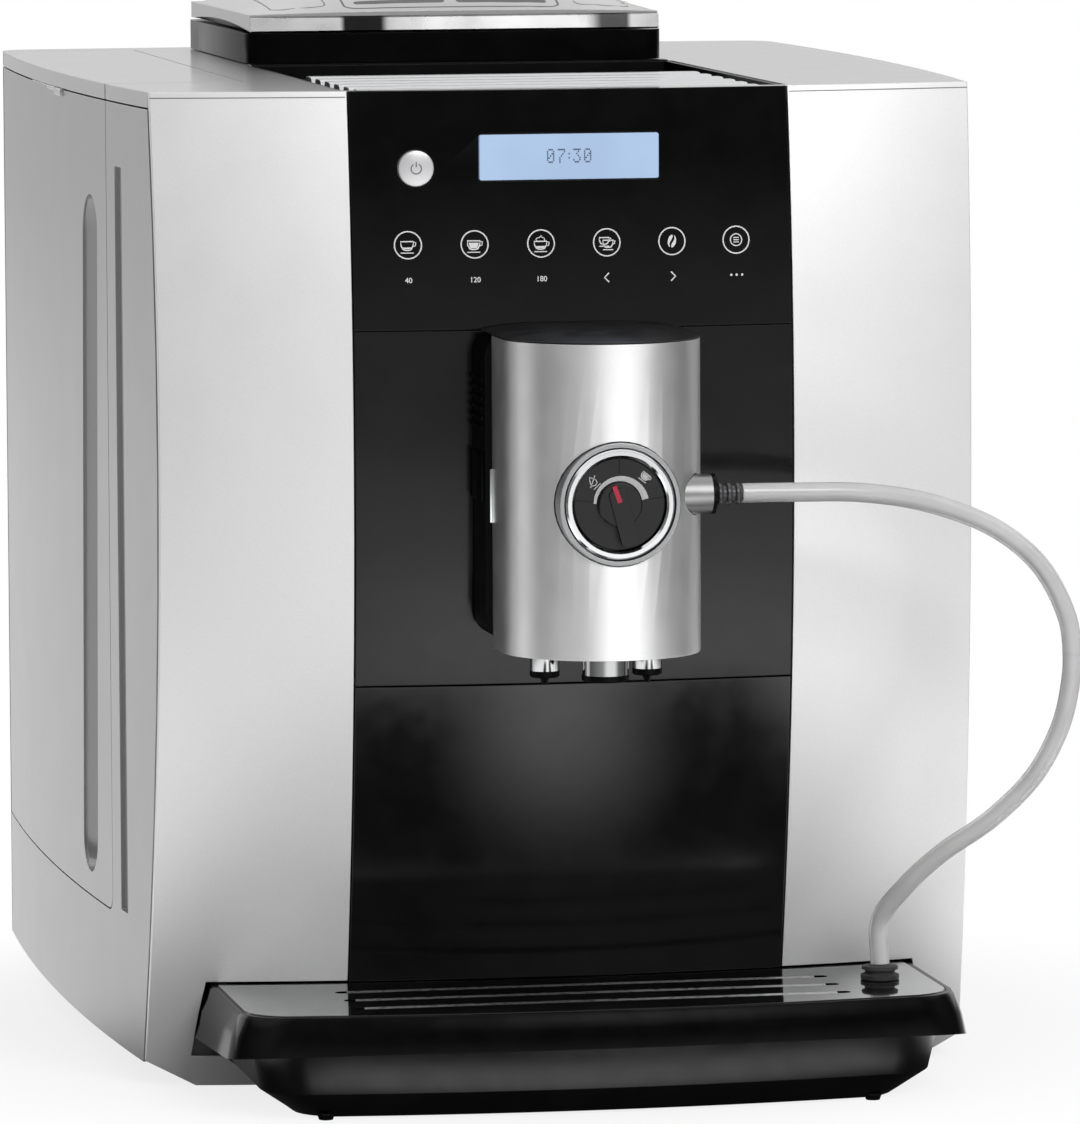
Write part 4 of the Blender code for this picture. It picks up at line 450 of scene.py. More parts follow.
def polished_metal(name, colour, roughness, edge=None):
    """Bright metal with faint smears; where edge is given, that colour is painted shade on every face that doesn't
    face up.
    """
    made = shader(name, colour, roughness, 1.0)
    smear = noise(made, 18, 4.0)
    base = mottle(smear, colour, 0.94)
    if edge:
        # Painted shade: where the true normal doesn't face up, as on chamfers and slot walls, the colour turns to
        # edge.
        up = parts_of(add(made, "NewGeometry").outputs["True Normal"])[2]
        blend_colour(spread(up, 1.0, 0.0, 0.8, 0.97), base, edge)
    rough(smear, roughness * 0.7, roughness * 1.5)
    relief(noise(made, 0.4, 2.0, (1, 0.1, 1)), 0.002, 0.25, 0.2)
    return made


def chrome_with_painted_reflection(name, roughness, reach, stops):
    """Satin chrome with a painted reflection: its tone changes along X in dark and bright bands, from its reach on
    the left to its reach on the right.
    """
    made = shader(name, grey(0.8), roughness, 1.0)
    x = parts_of(object_place(made))[0]
    # Painted reflection: the base colour follows the object's X through the stops.
    join(tone_ramp(x, stops, -reach * MM, reach * MM), principled(made).inputs["Base Color"])
    rough(noise(made, 14), roughness * 0.9, roughness * 1.1)
    return made


def rubber(name, colour):
    made = shader(name, colour, 0.72, Sheen_Weight=0.15)
    dust = noise(made, 3, 5.0)
    vary(dust, colour, tuple(c + 0.02 for c in colour))
    rough(dust, 0.62, 0.85)
    relief(noise(made, 0.3, 3.0), 0.03, 0.4, 0.3)
    return made


def clear_plastic(name, colour, roughness, transmission):
    """Clear or milky plastic with slight clouding and flow marks."""
    made = shader(name, colour, roughness, Transmission_Weight=transmission, IOR=1.42)
    cloud = noise(made, 14, 1.0)
    mottle(cloud, colour, 0.93)
    rough(cloud, roughness * 0.9, roughness * 1.15)
    relief(noise(made, 2.5, 1.0), 0.006, 0.2, 0.3)
    return made


def lit_window(name, colour, glow):
    """Back-lit display: a pale window, a little brighter in places, with a fine cell pattern."""
    made = shader(name, colour, 0.18, Emission_Strength=glow)
    pale = tuple(min(1.0, c * 1.08) for c in colour)
    base = vary(noise(made, 26, 1.0), colour, pale)
    join(base, principled(made).inputs["Emission Color"])
    relief(noise(made, 0.5, 1.0), 0.01, 0.2, 0.3)
    return made


def printed_ink_and_shade(name, colour):
    """Flat, slightly uneven colour with a dry finish: screen-printed ink, and also the painted shade of the wing
    seams and lid slots.
    """
    made = shader(name, colour, 0.5)
    cover = noise(made, 0.6, 2.0)
    mottle(cover, colour, 0.88)
    rough(cover, 0.42, 0.6)
    return made


def circuit_look(name):
    """Green solder mask with faint copper tracks showing through."""
    mask = (0.02, 0.12, 0.05)
    made = shader(name, mask, 0.35)
    tracks = add(made, "TexBrick", Vector=object_place(made), Scale=90.0, Mortar_Size=0.04)
    blend_colour(tracks.outputs["Fac"], mask, (0.05, 0.2, 0.08))
    rough(noise(made, 2), 0.3, 0.5)
    return made


def roasted_bean(name):
    made = shader(name, (0.035, 0.014, 0.006), 0.32)
    oil = noise(made, 2.5, 4.0)
    vary(oil, (0.022, 0.009, 0.004), (0.06, 0.026, 0.011))
    rough(oil, 0.22, 0.5)
    relief(noise(made, 0.7, 4.0), 0.08, 0.5)
    return made


SILVER_SIDE = satin_paint("silver_side_paint", grey(0.39), grey(0.58), 0.36, 0.55)
SILVER_TOP = satin_paint("silver_top_paint", grey(0.40), grey(0.58), 0.30, 0.60, coat=0.8)
SILVER_WING = satin_paint("silver_wing_paint", grey(0.80), grey(0.86), 0.45, 0.65)
SILVER_KEY = satin_paint("silver_key_paint", (0.66, 0.66, 0.67), (0.78, 0.78, 0.79), 0.30, 0.40)
GLOSS_BLACK = gloss_plastic("black_gloss", (0.0025, 0.0025, 0.0028), (0.03, 0.03, 0.033), 0.07, ior=1.37)
GLOSS_RIM = gloss_plastic("rim_gloss", (0.002, 0.002, 0.0022), grey(0.02), 0.12, ior=1.25)
GLOSS_SKIRT = gloss_plastic("skirt_gloss", grey(0.0015), grey(0.01), 0.15, ior=1.11)
GLOSS_LOWER = gloss_plastic("black_lower_gloss", grey(0.0025), grey(0.02), 0.15)
GLOSS_SMOKE = gloss_plastic("smoke_gloss", (0.004, 0.004, 0.0043), grey(0.03), 0.12, ior=1.35)
GLOSS_BOWL = gloss_plastic("bowl_gloss", (0.003, 0.003, 0.0032), grey(0.012), 0.20, ior=1.6)
CAP_BLACK = gloss_plastic("cap_satin", (0.012, 0.012, 0.013), grey(0.03), 0.35, ior=1.4)
CARRIAGE_BLACK = gloss_plastic("carriage_black", (0.0010, 0.0010, 0.0011), grey(0.004), 0.34, ior=1.18)
DIAL_BLACK = gloss_plastic("dial_black", (0.005, 0.005, 0.0053), (0.03, 0.03, 0.033), 0.33, 0.25, 1.4)
MATT_BLACK = grained_plastic("black_grain", (0.005, 0.005, 0.0055), grey(0.02), 0.45)
MATT_GREY = grained_plastic("grey_grain", (0.15, 0.155, 0.16), (0.24, 0.24, 0.25), 0.48, 0.8)
CHROME = polished_metal("bright_chrome", (0.78, 0.79, 0.80), 0.06)
NOZZLE_CHROME = polished_metal("nozzle_chrome", (0.48, 0.485, 0.49), 0.10)
# The tray plate has near-black painted shade on its faces that don't face up.
STEEL_PLATE_PAINTED_SHADE = polished_metal("tray_steel_painted_shade", (0.88, 0.885, 0.89), 0.05, grey(0.03))
# Painted reflection on the lid's chrome band: dark and bright tones along X that stand for mirrored surroundings.
BAND_PAINTED_REFLECTION_STOPS = (
    (0.0, 0.55), (0.235, 0.62), (0.245, 0.02), (0.330, 0.02), (0.345, 0.62), (0.43, 0.95),
    (0.80, 0.95), (0.835, 0.12), (0.895, 0.10), (0.905, 0.70), (1.0, 0.55),
)
BAND_CHROME_PAINTED_REFLECTION = chrome_with_painted_reflection("lid_band_chrome_painted_reflection", 0.28, 80, BAND_PAINTED_REFLECTION_STOPS)
SATIN = blasted_metal("satin_spout", grey(0.90), 0.36)
BOSS_SATIN = blasted_metal("satin_boss", grey(0.28), 0.34)
SATIN_TURNED = brushed_metal("satin_turned", (0.34, 0.345, 0.35), 0.38, (1.0, 0.15, 1.0))
LIP_METAL = brushed_metal("slot_lip_metal", grey(0.92), 0.30, (0.1, 1.0, 1.0))
SHELF_METAL = brushed_metal("shelf_metal", (0.66, 0.67, 0.68), 0.24, (0.02, 1.0, 1.0))
STEEL_PARTS = brushed_metal("inner_steel", (0.52, 0.52, 0.53), 0.3, (0.1, 1.0, 1.0))
DISPLAY = lit_window("display_glow", (0.31, 0.42, 0.59), 0.42)
RUBBER = rubber("black_rubber", grey(0.006))
TANK_CLEAR = clear_plastic("tank_clear", (0.62, 0.66, 0.70), 0.12, 0.75)
HOSE_CLEAR = clear_plastic("hose_silicone", grey(0.88), 0.22, 0.50)
BARB_CLEAR = clear_plastic("smoked_barb", (0.10, 0.10, 0.105), 0.2, 0.35)
INK_WHITE = printed_ink_and_shade("white_ink", grey(0.80))
INK_GREY = printed_ink_and_shade("grey_ink", (0.52, 0.52, 0.53))
INK_RED = printed_ink_and_shade("red_ink", (0.46, 0.012, 0.045))
INK_DARK = printed_ink_and_shade("dark_cell", (0.045, 0.07, 0.13))
# Steel-grey ink for the power icon, and painted shade for the lid's grooves and slots.
STEEL_INK_AND_PAINTED_SHADE = printed_ink_and_shade("steel_mark_and_painted_shade", (0.10, 0.10, 0.105))
# Painted shade for the dark lines under the wings' top edges.
SEAM_PAINTED_SHADE = printed_ink_and_shade("seam_shade", grey(0.20))
BOARD = circuit_look("green_board")
BEAN = roasted_bean("roasted_bean")

FINISHES = (
    (SILVER_SIDE, "side_panel_left side_panel_right tank_cover service_door"),
    (SILVER_TOP, "top_cover tank_lid hopper_lid"),
    (SILVER_WING, "front_wing_left front_wing_right"),
    (GLOSS_BLACK, "control_panel"),
    (CAP_BLACK, "spout_cap"),
    (CARRIAGE_BLACK, "spout_carriage shelf_recess"),
    (GLOSS_RIM, "tray_rim"),
    (GLOSS_SKIRT, "bean_hopper"),
    (GLOSS_LOWER, "lower_panel"),
    (GLOSS_SMOKE, "middle_panel"),
    (GLOSS_BOWL, "tray_bowl"),
    (DIAL_BLACK, "knob_dial"),
    (MATT_BLACK, "base_pan power_inlet front_bulkhead grounds_bin pump"),
    (MATT_GREY, "back_cover chassis grinder_housing brew_unit grinder_motor"),
    (BAND_CHROME_PAINTED_REFLECTION, "lid_front_band"),
    (CHROME, "knob_ring"),
    (NOZZLE_CHROME, "coffee_nozzle_left coffee_nozzle_right milk_nozzle"),
    (SATIN, "spout_shell"),
    (SILVER_KEY, "power_button"),
    (SATIN_TURNED, "knob_collar thermoblock"),
    (BOSS_SATIN, "hose_boss"),
    (SHELF_METAL, "cup_shelf"),
    (STEEL_PLATE_PAINTED_SHADE, "tray_plate"),
    (STEEL_PARTS, "grinding_burr brew_piston"),
    (DISPLAY, "display_window"),
    (RUBBER, "hose_grommet foot_front_left foot_front_right foot_rear_left foot_rear_right"),
    (TANK_CLEAR, "water_tank"),
    (BARB_CLEAR, "hose_barb"),
    (BOARD, "circuit_board"),
)


def smooth_surfaces():
    """Node group that joins a CAD mesh's triangles and shades them smooth, apart from real edges."""
    group = bpy.data.node_groups.new("smooth_surfaces", "GeometryNodeTree")
    for way in ("INPUT", "OUTPUT"):
        group.interface.new_socket("Geometry", in_out=way, socket_type="NodeSocketGeometry")
    angle = add(group, "GeometryNodeInputMeshEdgeAngle").outputs["Unsigned Angle"]
    soft = add(group, "FunctionNodeCompare", operation="LESS_THAN", A=angle, B=SOFT_ANGLE)
    chain = (
        add(group, "NodeGroupInput"),
        add(group, "GeometryNodeMergeByDistance", Distance=WELD),
        add(group, "GeometryNodeRemoveAttribute", Name="custom_normal"),
        add(group, "GeometryNodeSetShadeSmooth"),
        add(group, "GeometryNodeSetShadeSmooth", domain="EDGE", Shade_Smooth=soft.outputs["Result"]),
        add(group, "NodeGroupOutput"),
    )
    for before, after in zip(chain, chain[1:]):
        join(before.outputs[0], after.inputs[0])
    return group


def dress_nodes():
    """Gives every CAD node its finish and smooth shading."""
    smooth = smooth_surfaces()
    for look, names in FINISHES:
        for name in names.split():
            node = NODES[name]
            node.modifiers.new("smooth", "NODES").node_group = smooth
            for spot in node.material_slots:
                spot.material = look


# Mesh helpers.
def placed(name, data):
    made = bpy.data.objects.new(name, data)
    bpy.context.scene.collection.objects.link(made)
    return made


def piece(name, mesh, look, body, smooth=False):
    """Makes an object of a bmesh, closed and facing out, that rides on a body."""
    bmesh.ops.recalc_face_normals(mesh, faces=mesh.faces)
    data = bpy.data.meshes.new(name)
    mesh.to_mesh(data)
    mesh.free()
    if smooth:
        data.shade_smooth()
        data.set_sharp_from_angle(angle=SHARP_ANGLE)
    data.materials.append(look)
    made = placed(name, data)
    if body:
        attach(made, body)
    return made


def on_both_sides(near, far):
    """Name, low end and high end of the same span along X on the left and on the right."""
    return ("left", -far, -near), ("right", near, far)


def loft(mesh, rows, ring=False):
    """Joins rows of vertices into a closed solid, with flat ends unless it is a ring; a row may be one point."""
    for first, second in zip(rows, rows[1:] + rows[:1] * ring):
        for k in range(max(len(first), len(second))):
            corners = [row[i % len(row)] for row, i in ((first, k - 1), (first, k), (second, k), (second, k - 1))]
            mesh.faces.new(list(dict.fromkeys(corners)))
    for end in (rows[0], rows[-1]):
        if len(end) > 1 and not ring:
            mesh.faces.new(end)


def band(mesh, at, line, widths, closed=False):
    """Lays a flat band along a line of (u, v) points; at(u, v, lift) gives the place."""
    if not isinstance(widths, list):
        widths = [widths] * len(line)
    rows = []
    for k, point in enumerate(line):
        before = line[k - 1] if closed or k else point
        after = line[(k + 1) % len(line)] if closed or k < len(line) - 1 else point
        run = Vector((after[0] - before[0], after[1] - before[1])).normalized() * widths[k] / 2
        left, right = (point[0] + run.y, point[1] - run.x), (point[0] - run.y, point[1] + run.x)
        corners = (*left, -PRINT_RISE), (*right, -PRINT_RISE), (*right, PRINT_RISE), (*left, PRINT_RISE)
        rows.append([mesh.verts.new(at(*corner)) for corner in corners])
    loft(mesh, rows, closed)


def patch(mesh, at, outline):
    """Lays a flat filled shape with this outline of (u, v) points."""
    loft(mesh, [[mesh.verts.new(at(u, v, lift)) for u, v in outline] for lift in (-PRINT_RISE, PRINT_RISE)])


def arc(radius, start=0.0, end=360.0, steps=40, centre=(0.0, 0.0), squash=1.0):
    """Points of an arc in degrees; a full turn leaves out its last point."""
    full = abs(end - start) >= 360
    points = []
    for k in range(steps if full else steps + 1):
        angle = radians(start + (end - start) * k / steps)
        points.append((centre[0] + radius * cos(angle), centre[1] + radius * squash * sin(angle)))
    return points


def laid(points, centre, angle=0.0):
    """Points in millimetres, turned by an angle in degrees and shifted to a centre in metres."""
    turn = Matrix.Rotation(radians(angle), 2)
    return [tuple(turn @ Vector((u, v)) * MM + Vector(centre)) for u, v in points]


def stroke(mesh, at, points, centre, width, angle=0.0, closed=False):
    """A band along points that are laid at a centre."""
    band(mesh, at, laid(points, centre, angle), width, closed)


def lathe(mesh, profile, place, axis, steps=32):
    """Turned solid of (radius, along) points round an axis, both ends closed on it."""
    turn = Vector((0, 0, 1)).rotation_difference(Vector(axis))
    rows = []
    for radius, along in profile:
        angles = [2 * pi * k / steps for k in range(steps if radius else 1)]
        spots = [Vector((radius * cos(a), radius * sin(a), along)) for a in angles]
        rows.append([mesh.verts.new(Vector(place) + turn @ spot) for spot in spots])
    loft(mesh, rows)


def rounded_box(mesh, low, high, bevel):
    """A box with softened edges."""
    made = bmesh.new()
    bmesh.ops.create_cube(made, size=1.0)
    low, high = Vector(low), Vector(high)
    for vertex in made.verts:
        vertex.co = [(low[i] + high[i]) / 2 + vertex.co[i] * (high[i] - low[i]) for i in range(3)]
    bmesh.ops.bevel(made, geom=made.edges[:], offset=bevel, segments=2, affect="EDGES", profile=0.6)
    data = bpy.data.meshes.new("box")
    made.to_mesh(data)
    made.free()
    mesh.from_mesh(data)
    bpy.data.meshes.remove(data)


def side_boxes(mesh, x, y, z, bevel):
    """Softened boxes at the same place on the left and on the right, from their spans along the axes."""
    for _, low, high in on_both_sides(*x):
        rounded_box(mesh, (low, y[0], z[0]), (high, y[1], z[1]), bevel)


# Places on CAD surfaces.
def centre_of(node):
    return Vector([(low + high) / 2 for low, high in zip(*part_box(node))])


def place_on(node, start, way):
    """Where a line from start hits a node, or None."""
    hit, place, _, _ = NODES[node].ray_cast(Vector(start), Vector(way))
    return place if hit else None


def front_of(node, x, z):
    """Depth of a node's front surface at this width and height."""
    place = place_on(node, (x, -1.0, z), (0, 1, 0))
    return place.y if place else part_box(node)[0][1]


def on_front(node):
    """Places on a node's front surface, however it curves."""
    return lambda x, z, lift: (x, front_of(node, x, z) - lift, z)


def facing(depth, x=0.0, z=0.0):
    """Places on a flat front at this depth, counted from a point on it."""
    return lambda u, v, lift: (x + u, depth - lift, z + v)


def on_lid(x, y, lift):
    """A place on the crown of the hopper lid."""
    place = place_on("hopper_lid", (x, y, 1.0), (0, 0, -1))
    return (x, y, (place.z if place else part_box("hopper_lid")[1][2]) + lift)


ON_PANEL = on_front("control_panel")


# Milk hose.
def hose_knots():
    """Knots of the hose from the connector on the spout to the grommet in the tray."""
    start, end = centre_of("hose_boss"), centre_of("hose_grommet")
    start.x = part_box("hose_barb")[1][0] + HOSE_GAP
    end.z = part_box("hose_grommet")[1][2] + HOSE_GAP
    first = start + Vector((2 * HOSE_RADIUS, 0, 0))
    last = end + Vector((0, 0, 4.5 * HOSE_RADIUS))
    return [start, first, *[Vector(p) for p in HOSE_ROUTE], last, end]


def smooth_route(knots, samples=12):
    """Points of a smooth curve through the knots (centripetal Catmull-Rom), knot by knot."""
    ends = [2 * knots[0] - knots[1], *knots, 2 * knots[-1] - knots[-2]]
    spans = []
    for a, b, c, d in zip(ends, ends[1:], ends[2:], ends[3:]):
        t1 = (b - a).length ** 0.5
        t2 = t1 + (c - b).length ** 0.5
        t3 = t2 + (d - c).length ** 0.5
        span = []
        for k in range(samples):
            t = t1 + (t2 - t1) * k / samples
            p = a * ((t1 - t) / t1) + b * (t / t1)
            q = b * ((t2 - t) / (t2 - t1)) + c * ((t - t1) / (t2 - t1))
            r = c * ((t3 - t) / (t3 - t2)) + d * ((t - t2) / (t3 - t2))
            u = p * ((t2 - t) / t2) + q * (t / t2)
            v = q * ((t3 - t) / (t3 - t1)) + r * ((t - t1) / (t3 - t1))
            span.append(u * ((t2 - t) / (t2 - t1)) + v * ((t - t1) / (t2 - t1)))
        spans.append(span)
    return spans


def tube(mesh, line, radii, sides=24):
    """Tube with open ends along a line of points, from its outer and inner radius."""
    across = Vector((0, 1, 0))
    outer, inner = [], []
    turns = [2 * pi * i / sides for i in range(sides)]
    for k, point in enumerate(line):
        along = (line[min(k + 1, len(line) - 1)] - line[max(k - 1, 0)]).normalized()
        across = (across - along * across.dot(along)).normalized()
        up = along.cross(across)
        for rings, radius in zip((outer, inner), radii):
            spots = [point + radius * (cos(a) * across + sin(a) * up) for a in turns]
            rings.append([mesh.verts.new(spot) for spot in spots])
    loft(mesh, outer + inner[::-1], ring=True)


def make_hose():
    """The hose in two lengths that meet at its far side."""
    knots = hose_knots()
    spans = smooth_route(knots)
    upper = [p for span in spans[:HOSE_SPLIT] for p in span] + [spans[HOSE_SPLIT][0]]
    lower = [p for span in spans[HOSE_SPLIT:] for p in span] + [knots[-1]]
    for name, line, body in (("upper", upper, "spout_head"), ("lower", lower, "tray_drawer")):
        mesh = bmesh.new()
        tube(mesh, line, (HOSE_RADIUS, HOSE_BORE))
        made = piece("milk_hose_" + name, mesh, HOSE_CLEAR, None, smooth=True)
        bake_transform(made)
        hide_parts("milk_hose")


# Printed marks.
def cup_marks(mesh, at, centre, fill, width, height, angle=0.0):
    """A cup with its handle and saucer line; fill is the share of the cup that is solid."""

    def sized(points):
        return [(u * width / 2, v * height) for u, v in points]

    stroke(mesh, at, sized(CUP_BOWL), centre, ICON_STROKE * 0.95, angle, closed=True)
    stroke(mesh, at, sized(CUP_HANDLE), centre, ICON_STROKE * 0.76, angle)
    stroke(mesh, at, sized(CUP_SAUCER), centre, ICON_STROKE * 0.76, angle)
    if fill:
        side, top = (0.62 + 0.64 * min(0.5, fill)) * 0.86, fill - 0.5
        full = sized(((-side, top), (-0.52, -0.36), (0.52, -0.36), (side, top)))
        patch(mesh, at, laid(full, centre, angle))


def bean_marks(mesh, at, centre):
    """A coffee bean: two halves with a curved slit."""
    slit = [(0.35 + 0.35 * sin(k * 0.9), 2.0 - k * 0.66) for k in range(7)]
    for side in (-1, 1):
        outline = [(side * u, side * v) for u, v in arc(1.45, -80, 80, 12, squash=1.5) + slit]
        patch(mesh, at, laid(outline, centre, -12))


def menu_marks(mesh, at, centre):
    """A small ring with three short lines."""
    stroke(mesh, at, arc(2.0, steps=28), centre, ICON_STROKE * 0.8, closed=True)
    for v in (-0.75, 0.0, 0.75):
        stroke(mesh, at, [(-0.95, v), (0.95, v)], centre, ICON_STROKE * 0.75)


def chevron_marks(mesh, at, centre, side):
    """An arrow head that points to the left (-1) or to the right (1)."""
    tail, tip = -side * CHEVRON * 0.35, side * CHEVRON * 0.65
    stroke(mesh, at, [(tail, CHEVRON), (tip, 0.0), (tail, -CHEVRON)], centre, ICON_STROKE * 1.1)


def panel_print():
    """Ring icons and arrow marks on the control panel."""
    mesh = bmesh.new()
    centres = [(x * MM, ICON_Z) for x in ICON_PLACES]
    for centre in centres:
        stroke(mesh, ON_PANEL, arc(ICON_RING, steps=48), centre, ICON_STROKE, closed=True)
    for k, right, up, fill, width, height in ICON_CUPS:
        place = (centres[k][0] + right * MM, ICON_Z + up * MM)
        cup_marks(mesh, ON_PANEL, place, fill, width, height)
    stroke(mesh, ON_PANEL, FOAM, (centres[2][0], ICON_Z + FOAM_UP * MM), ICON_STROKE * 0.7)
    bean_marks(mesh, ON_PANEL, centres[4])
    menu_marks(mesh, ON_PANEL, centres[5])
    chevron_marks(mesh, ON_PANEL, (centres[3][0], LABEL_Z), -1)
    chevron_marks(mesh, ON_PANEL, (centres[4][0], LABEL_Z), 1)
    piece("panel_icons", mesh, INK_WHITE, "housing")


def numerals(name, words, x):
    """Generic numerals on the control panel, as a thin closed mesh."""
    text = bpy.data.curves.new(name + "_text", "FONT")
    text.body = words
    text.size = LABEL_HEIGHT / 0.7
    text.align_x = "CENTER"
    text.extrude = PRINT_RISE
    text.offset = LABEL_HEIGHT * 0.018
    source = placed(name + "_text", text)
    bpy.context.view_layer.update()
    data = bpy.data.meshes.new_from_object(source)
    mesh = bmesh.new()
    mesh.from_mesh(data)
    bpy.data.objects.remove(source)
    bpy.data.curves.remove(text)
    bpy.data.meshes.remove(data)
    bmesh.ops.remove_doubles(mesh, verts=mesh.verts, dist=WELD)
    for vertex in mesh.verts:
        u, v, lift = vertex.co
        vertex.co = ON_PANEL(x + u, LABEL_Z - LABEL_HEIGHT / 2 + v, lift)
    piece(name, mesh, INK_WHITE, "housing")


def panel_numerals():
    """Sizes in millilitres under the first three icons, and three dots under the last one."""
    for (name, words), place in zip(LABELS, ICON_PLACES):
        numerals(name, words, place * MM)
    mesh = bmesh.new()
    for k in (-1, 0, 1):
        centre = (ICON_PLACES[5] * MM + k * MENU_DOT_PITCH, LABEL_Z)
        patch(mesh, ON_PANEL, laid(arc(MENU_DOT, steps=16), centre))
    piece("setting_dots", mesh, INK_WHITE, "housing")


def display_digits():
    """A time of day in dot-matrix digits on the display."""
    rows = {sign: dots.split() for sign, dots in DIGITS.items()}
    widths = [len(rows[sign][0]) * DOT_PITCH_X for sign in CLOCK]
    middle = centre_of("display_window")
    left = middle.x - (sum(widths) + DIGIT_GAP * (len(CLOCK) - 1)) / 2
    top = middle.z + 3 * DOT_PITCH_Z
    at = facing(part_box("display_window")[0][1])
    mesh = bmesh.new()
    for sign, width in zip(CLOCK, widths):
        for r, row in enumerate(rows[sign]):
            for c, dot in enumerate(row):
                if dot == "1":
                    x, z = left + c * DOT_PITCH_X, top - r * DOT_PITCH_Z
                    patch(mesh, at, [(x, z), (x + DOT, z), (x + DOT, z + DOT_TALL), (x, z + DOT_TALL)])
        left += width + DIGIT_GAP
    piece("display_digits", mesh, INK_DARK, "housing")


def power_icon():
    """Open ring and bar on the power button."""
    middle = centre_of("power_button")
    at = facing(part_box("power_button")[0][1], middle.x, middle.z)
    mesh = bmesh.new()
    stroke(mesh, at, arc(1.75, 122, 418, 28), ORIGIN, 0.36 * MM)
    stroke(mesh, at, [(0.0, 0.5), (0.0, 2.3)], ORIGIN, 0.36 * MM)
    piece("power_icon", mesh, STEEL_INK_AND_PAINTED_SHADE, "power_key")


def crescent(mesh, at):
    """A bow on the milk knob that grows wider to the right."""
    line, widths = [], []
    for k in range(CRESCENT_STEPS + 1):
        share = k / CRESCENT_STEPS
        outer, inner = 8.7 + 1.2 * share, 7.75 - 0.1 * share
        line += laid([((outer + inner) / 2, 0.0)], ORIGIN, 178 - 168 * share)
        widths.append((outer - inner) * MM)
    band(mesh, at, line, widths)


def dial_marks():
    """Crescent, icons, grooves and red pointer of the milk knob."""
    middle = centre_of("knob_dial")
    face = front_of("knob_dial", middle.x - 12 * MM, middle.z + 4 * MM)
    at = facing(face, middle.x, middle.z)
    mesh = bmesh.new()
    crescent(mesh, at)
    stroke(mesh, at, DROP, DROP_PLACE, 0.32 * MM, 38, closed=True)
    stroke(mesh, at, [(-1.7, -1.3), (1.6, 1.5)], DROP_PLACE, 0.32 * MM, 30)
    stroke(mesh, at, [(-1.5, -2.1), (1.5, -2.1)], DROP_PLACE, 0.3 * MM, 42)
    cup_marks(mesh, at, CUP_PLACE, 0.85, 3.0, 2.0, -38)
    piece("dial_print", mesh, INK_GREY, "milk_knob")
    mesh = bmesh.new()
    for angle, start in GROOVES:
        stroke(mesh, at, [(start, 0.0), (GROOVE_END, 0.0)], ORIGIN, 0.34 * MM, angle)
    piece("dial_grooves", mesh, GLOSS_BLACK, "milk_knob")
    mesh = bmesh.new()
    on_bar = facing(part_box("knob_dial")[0][1], middle.x, middle.z)
    stroke(mesh, on_bar, [(0.0, 0.8), (0.0, 6.6)], ORIGIN, 1.55 * MM, 20)
    piece("dial_pointer", mesh, INK_RED, "milk_knob")


# Small parts of the spout and the tray.
def nozzle_tips():
    """Black outlet rings under the chrome nozzles, with thin drip points on the coffee ones."""
    for node in ("coffee_nozzle_left", "coffee_nozzle_right", "milk_nozzle"):
        low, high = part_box(node)
        radius = (high[0] - low[0]) / 2
        place = centre_of(node)
        place.z = low[2]
        ring = TIP_RING + (TIP_MILK if node == "milk_nozzle" else TIP_COFFEE)
        mesh = bmesh.new()
        lathe(mesh, [(share * radius, h * MM) for share, h in ring], place, (0, 0, 1))
        piece("tip_" + node, mesh, CARRIAGE_BLACK, "spout_head", smooth=True)


def carriage_details():
    """Finger ridges and a pad on both sides of the carriage, and the bright tabs beside the shell."""
    mesh = bmesh.new()
    for k in range(6):
        z = GRIP_TOP - k * GRIP_PITCH
        side_boxes(mesh, GRIP_X, GRIP_Y, (z - GRIP_HALF, z + GRIP_HALF), 0.3 * MM)
    side_boxes(mesh, PAD_X, GRIP_Y, PAD_Z, 0.35 * MM)
    piece("carriage_grips", mesh, CARRIAGE_BLACK, "spout_head", smooth=True)
    mesh = bmesh.new()
    side_boxes(mesh, TAB_X, TAB_Y, TAB_Z, 0.25 * MM)
    piece("shell_tabs", mesh, CHROME, "spout_head", smooth=True)


def carriage_foot():
    """Lower end of the carriage, a little below the solid one."""
    mesh = bmesh.new()
    outline = rounded_outline(FOOT_LOW, FOOT_HIGH, FOOT_ROUND)
    loft(mesh, [[mesh.verts.new((u, y, v)) for u, v in outline] for y in FOOT_DEPTH])
    piece("carriage_foot", mesh, CARRIAGE_BLACK, "spout_head", smooth=True)


def boss_ring():
    """Black ring round the outer end of the hose boss."""
    low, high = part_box("hose_boss")
    place = centre_of("hose_boss")
    place.x = high[0]
    radius = (high[2] - low[2]) / 2 + 0.12 * MM
    mesh = bmesh.new()
    lathe(mesh, [(0, -1.2 * MM), (radius, -1.2 * MM), (radius, 0.1 * MM), (0, 0.1 * MM)], place, (1, 0, 0))
    piece("boss_ring", mesh, CARRIAGE_BLACK, "spout_head", smooth=True)


def slot_lips():
    """Bent-down lips inside the tray plate's slots, a little shorter than the slots."""
    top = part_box("tray_plate")[1][2]
    mesh = bmesh.new()
    for y in SLOT_PLACES:
        section = [(y + forward * MM, top + up * MM) for forward, up in SLOT_LIP]
        loft(mesh, [[mesh.verts.new((x, *spot)) for spot in section] for x in SLOT_LIP_ENDS])
    piece("slot_lips", mesh, LIP_METAL, "tray_drawer")


def tray_bay():
    """Dark strips of the bay's floor on both sides of the bowl, seen under the rim's ends."""
    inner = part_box("tray_plate")[1][0] - BAY_INSET
    for name, low, high in on_both_sides(inner, BAY_REACH):
        mesh = bmesh.new()
        rounded_box(mesh, (low, BAY_Y[0], BAY_Z[0]), (high, BAY_Y[1], BAY_Z[1]), 0.2 * MM)
        piece("tray_bay_" + name, mesh, MATT_BLACK, "housing")


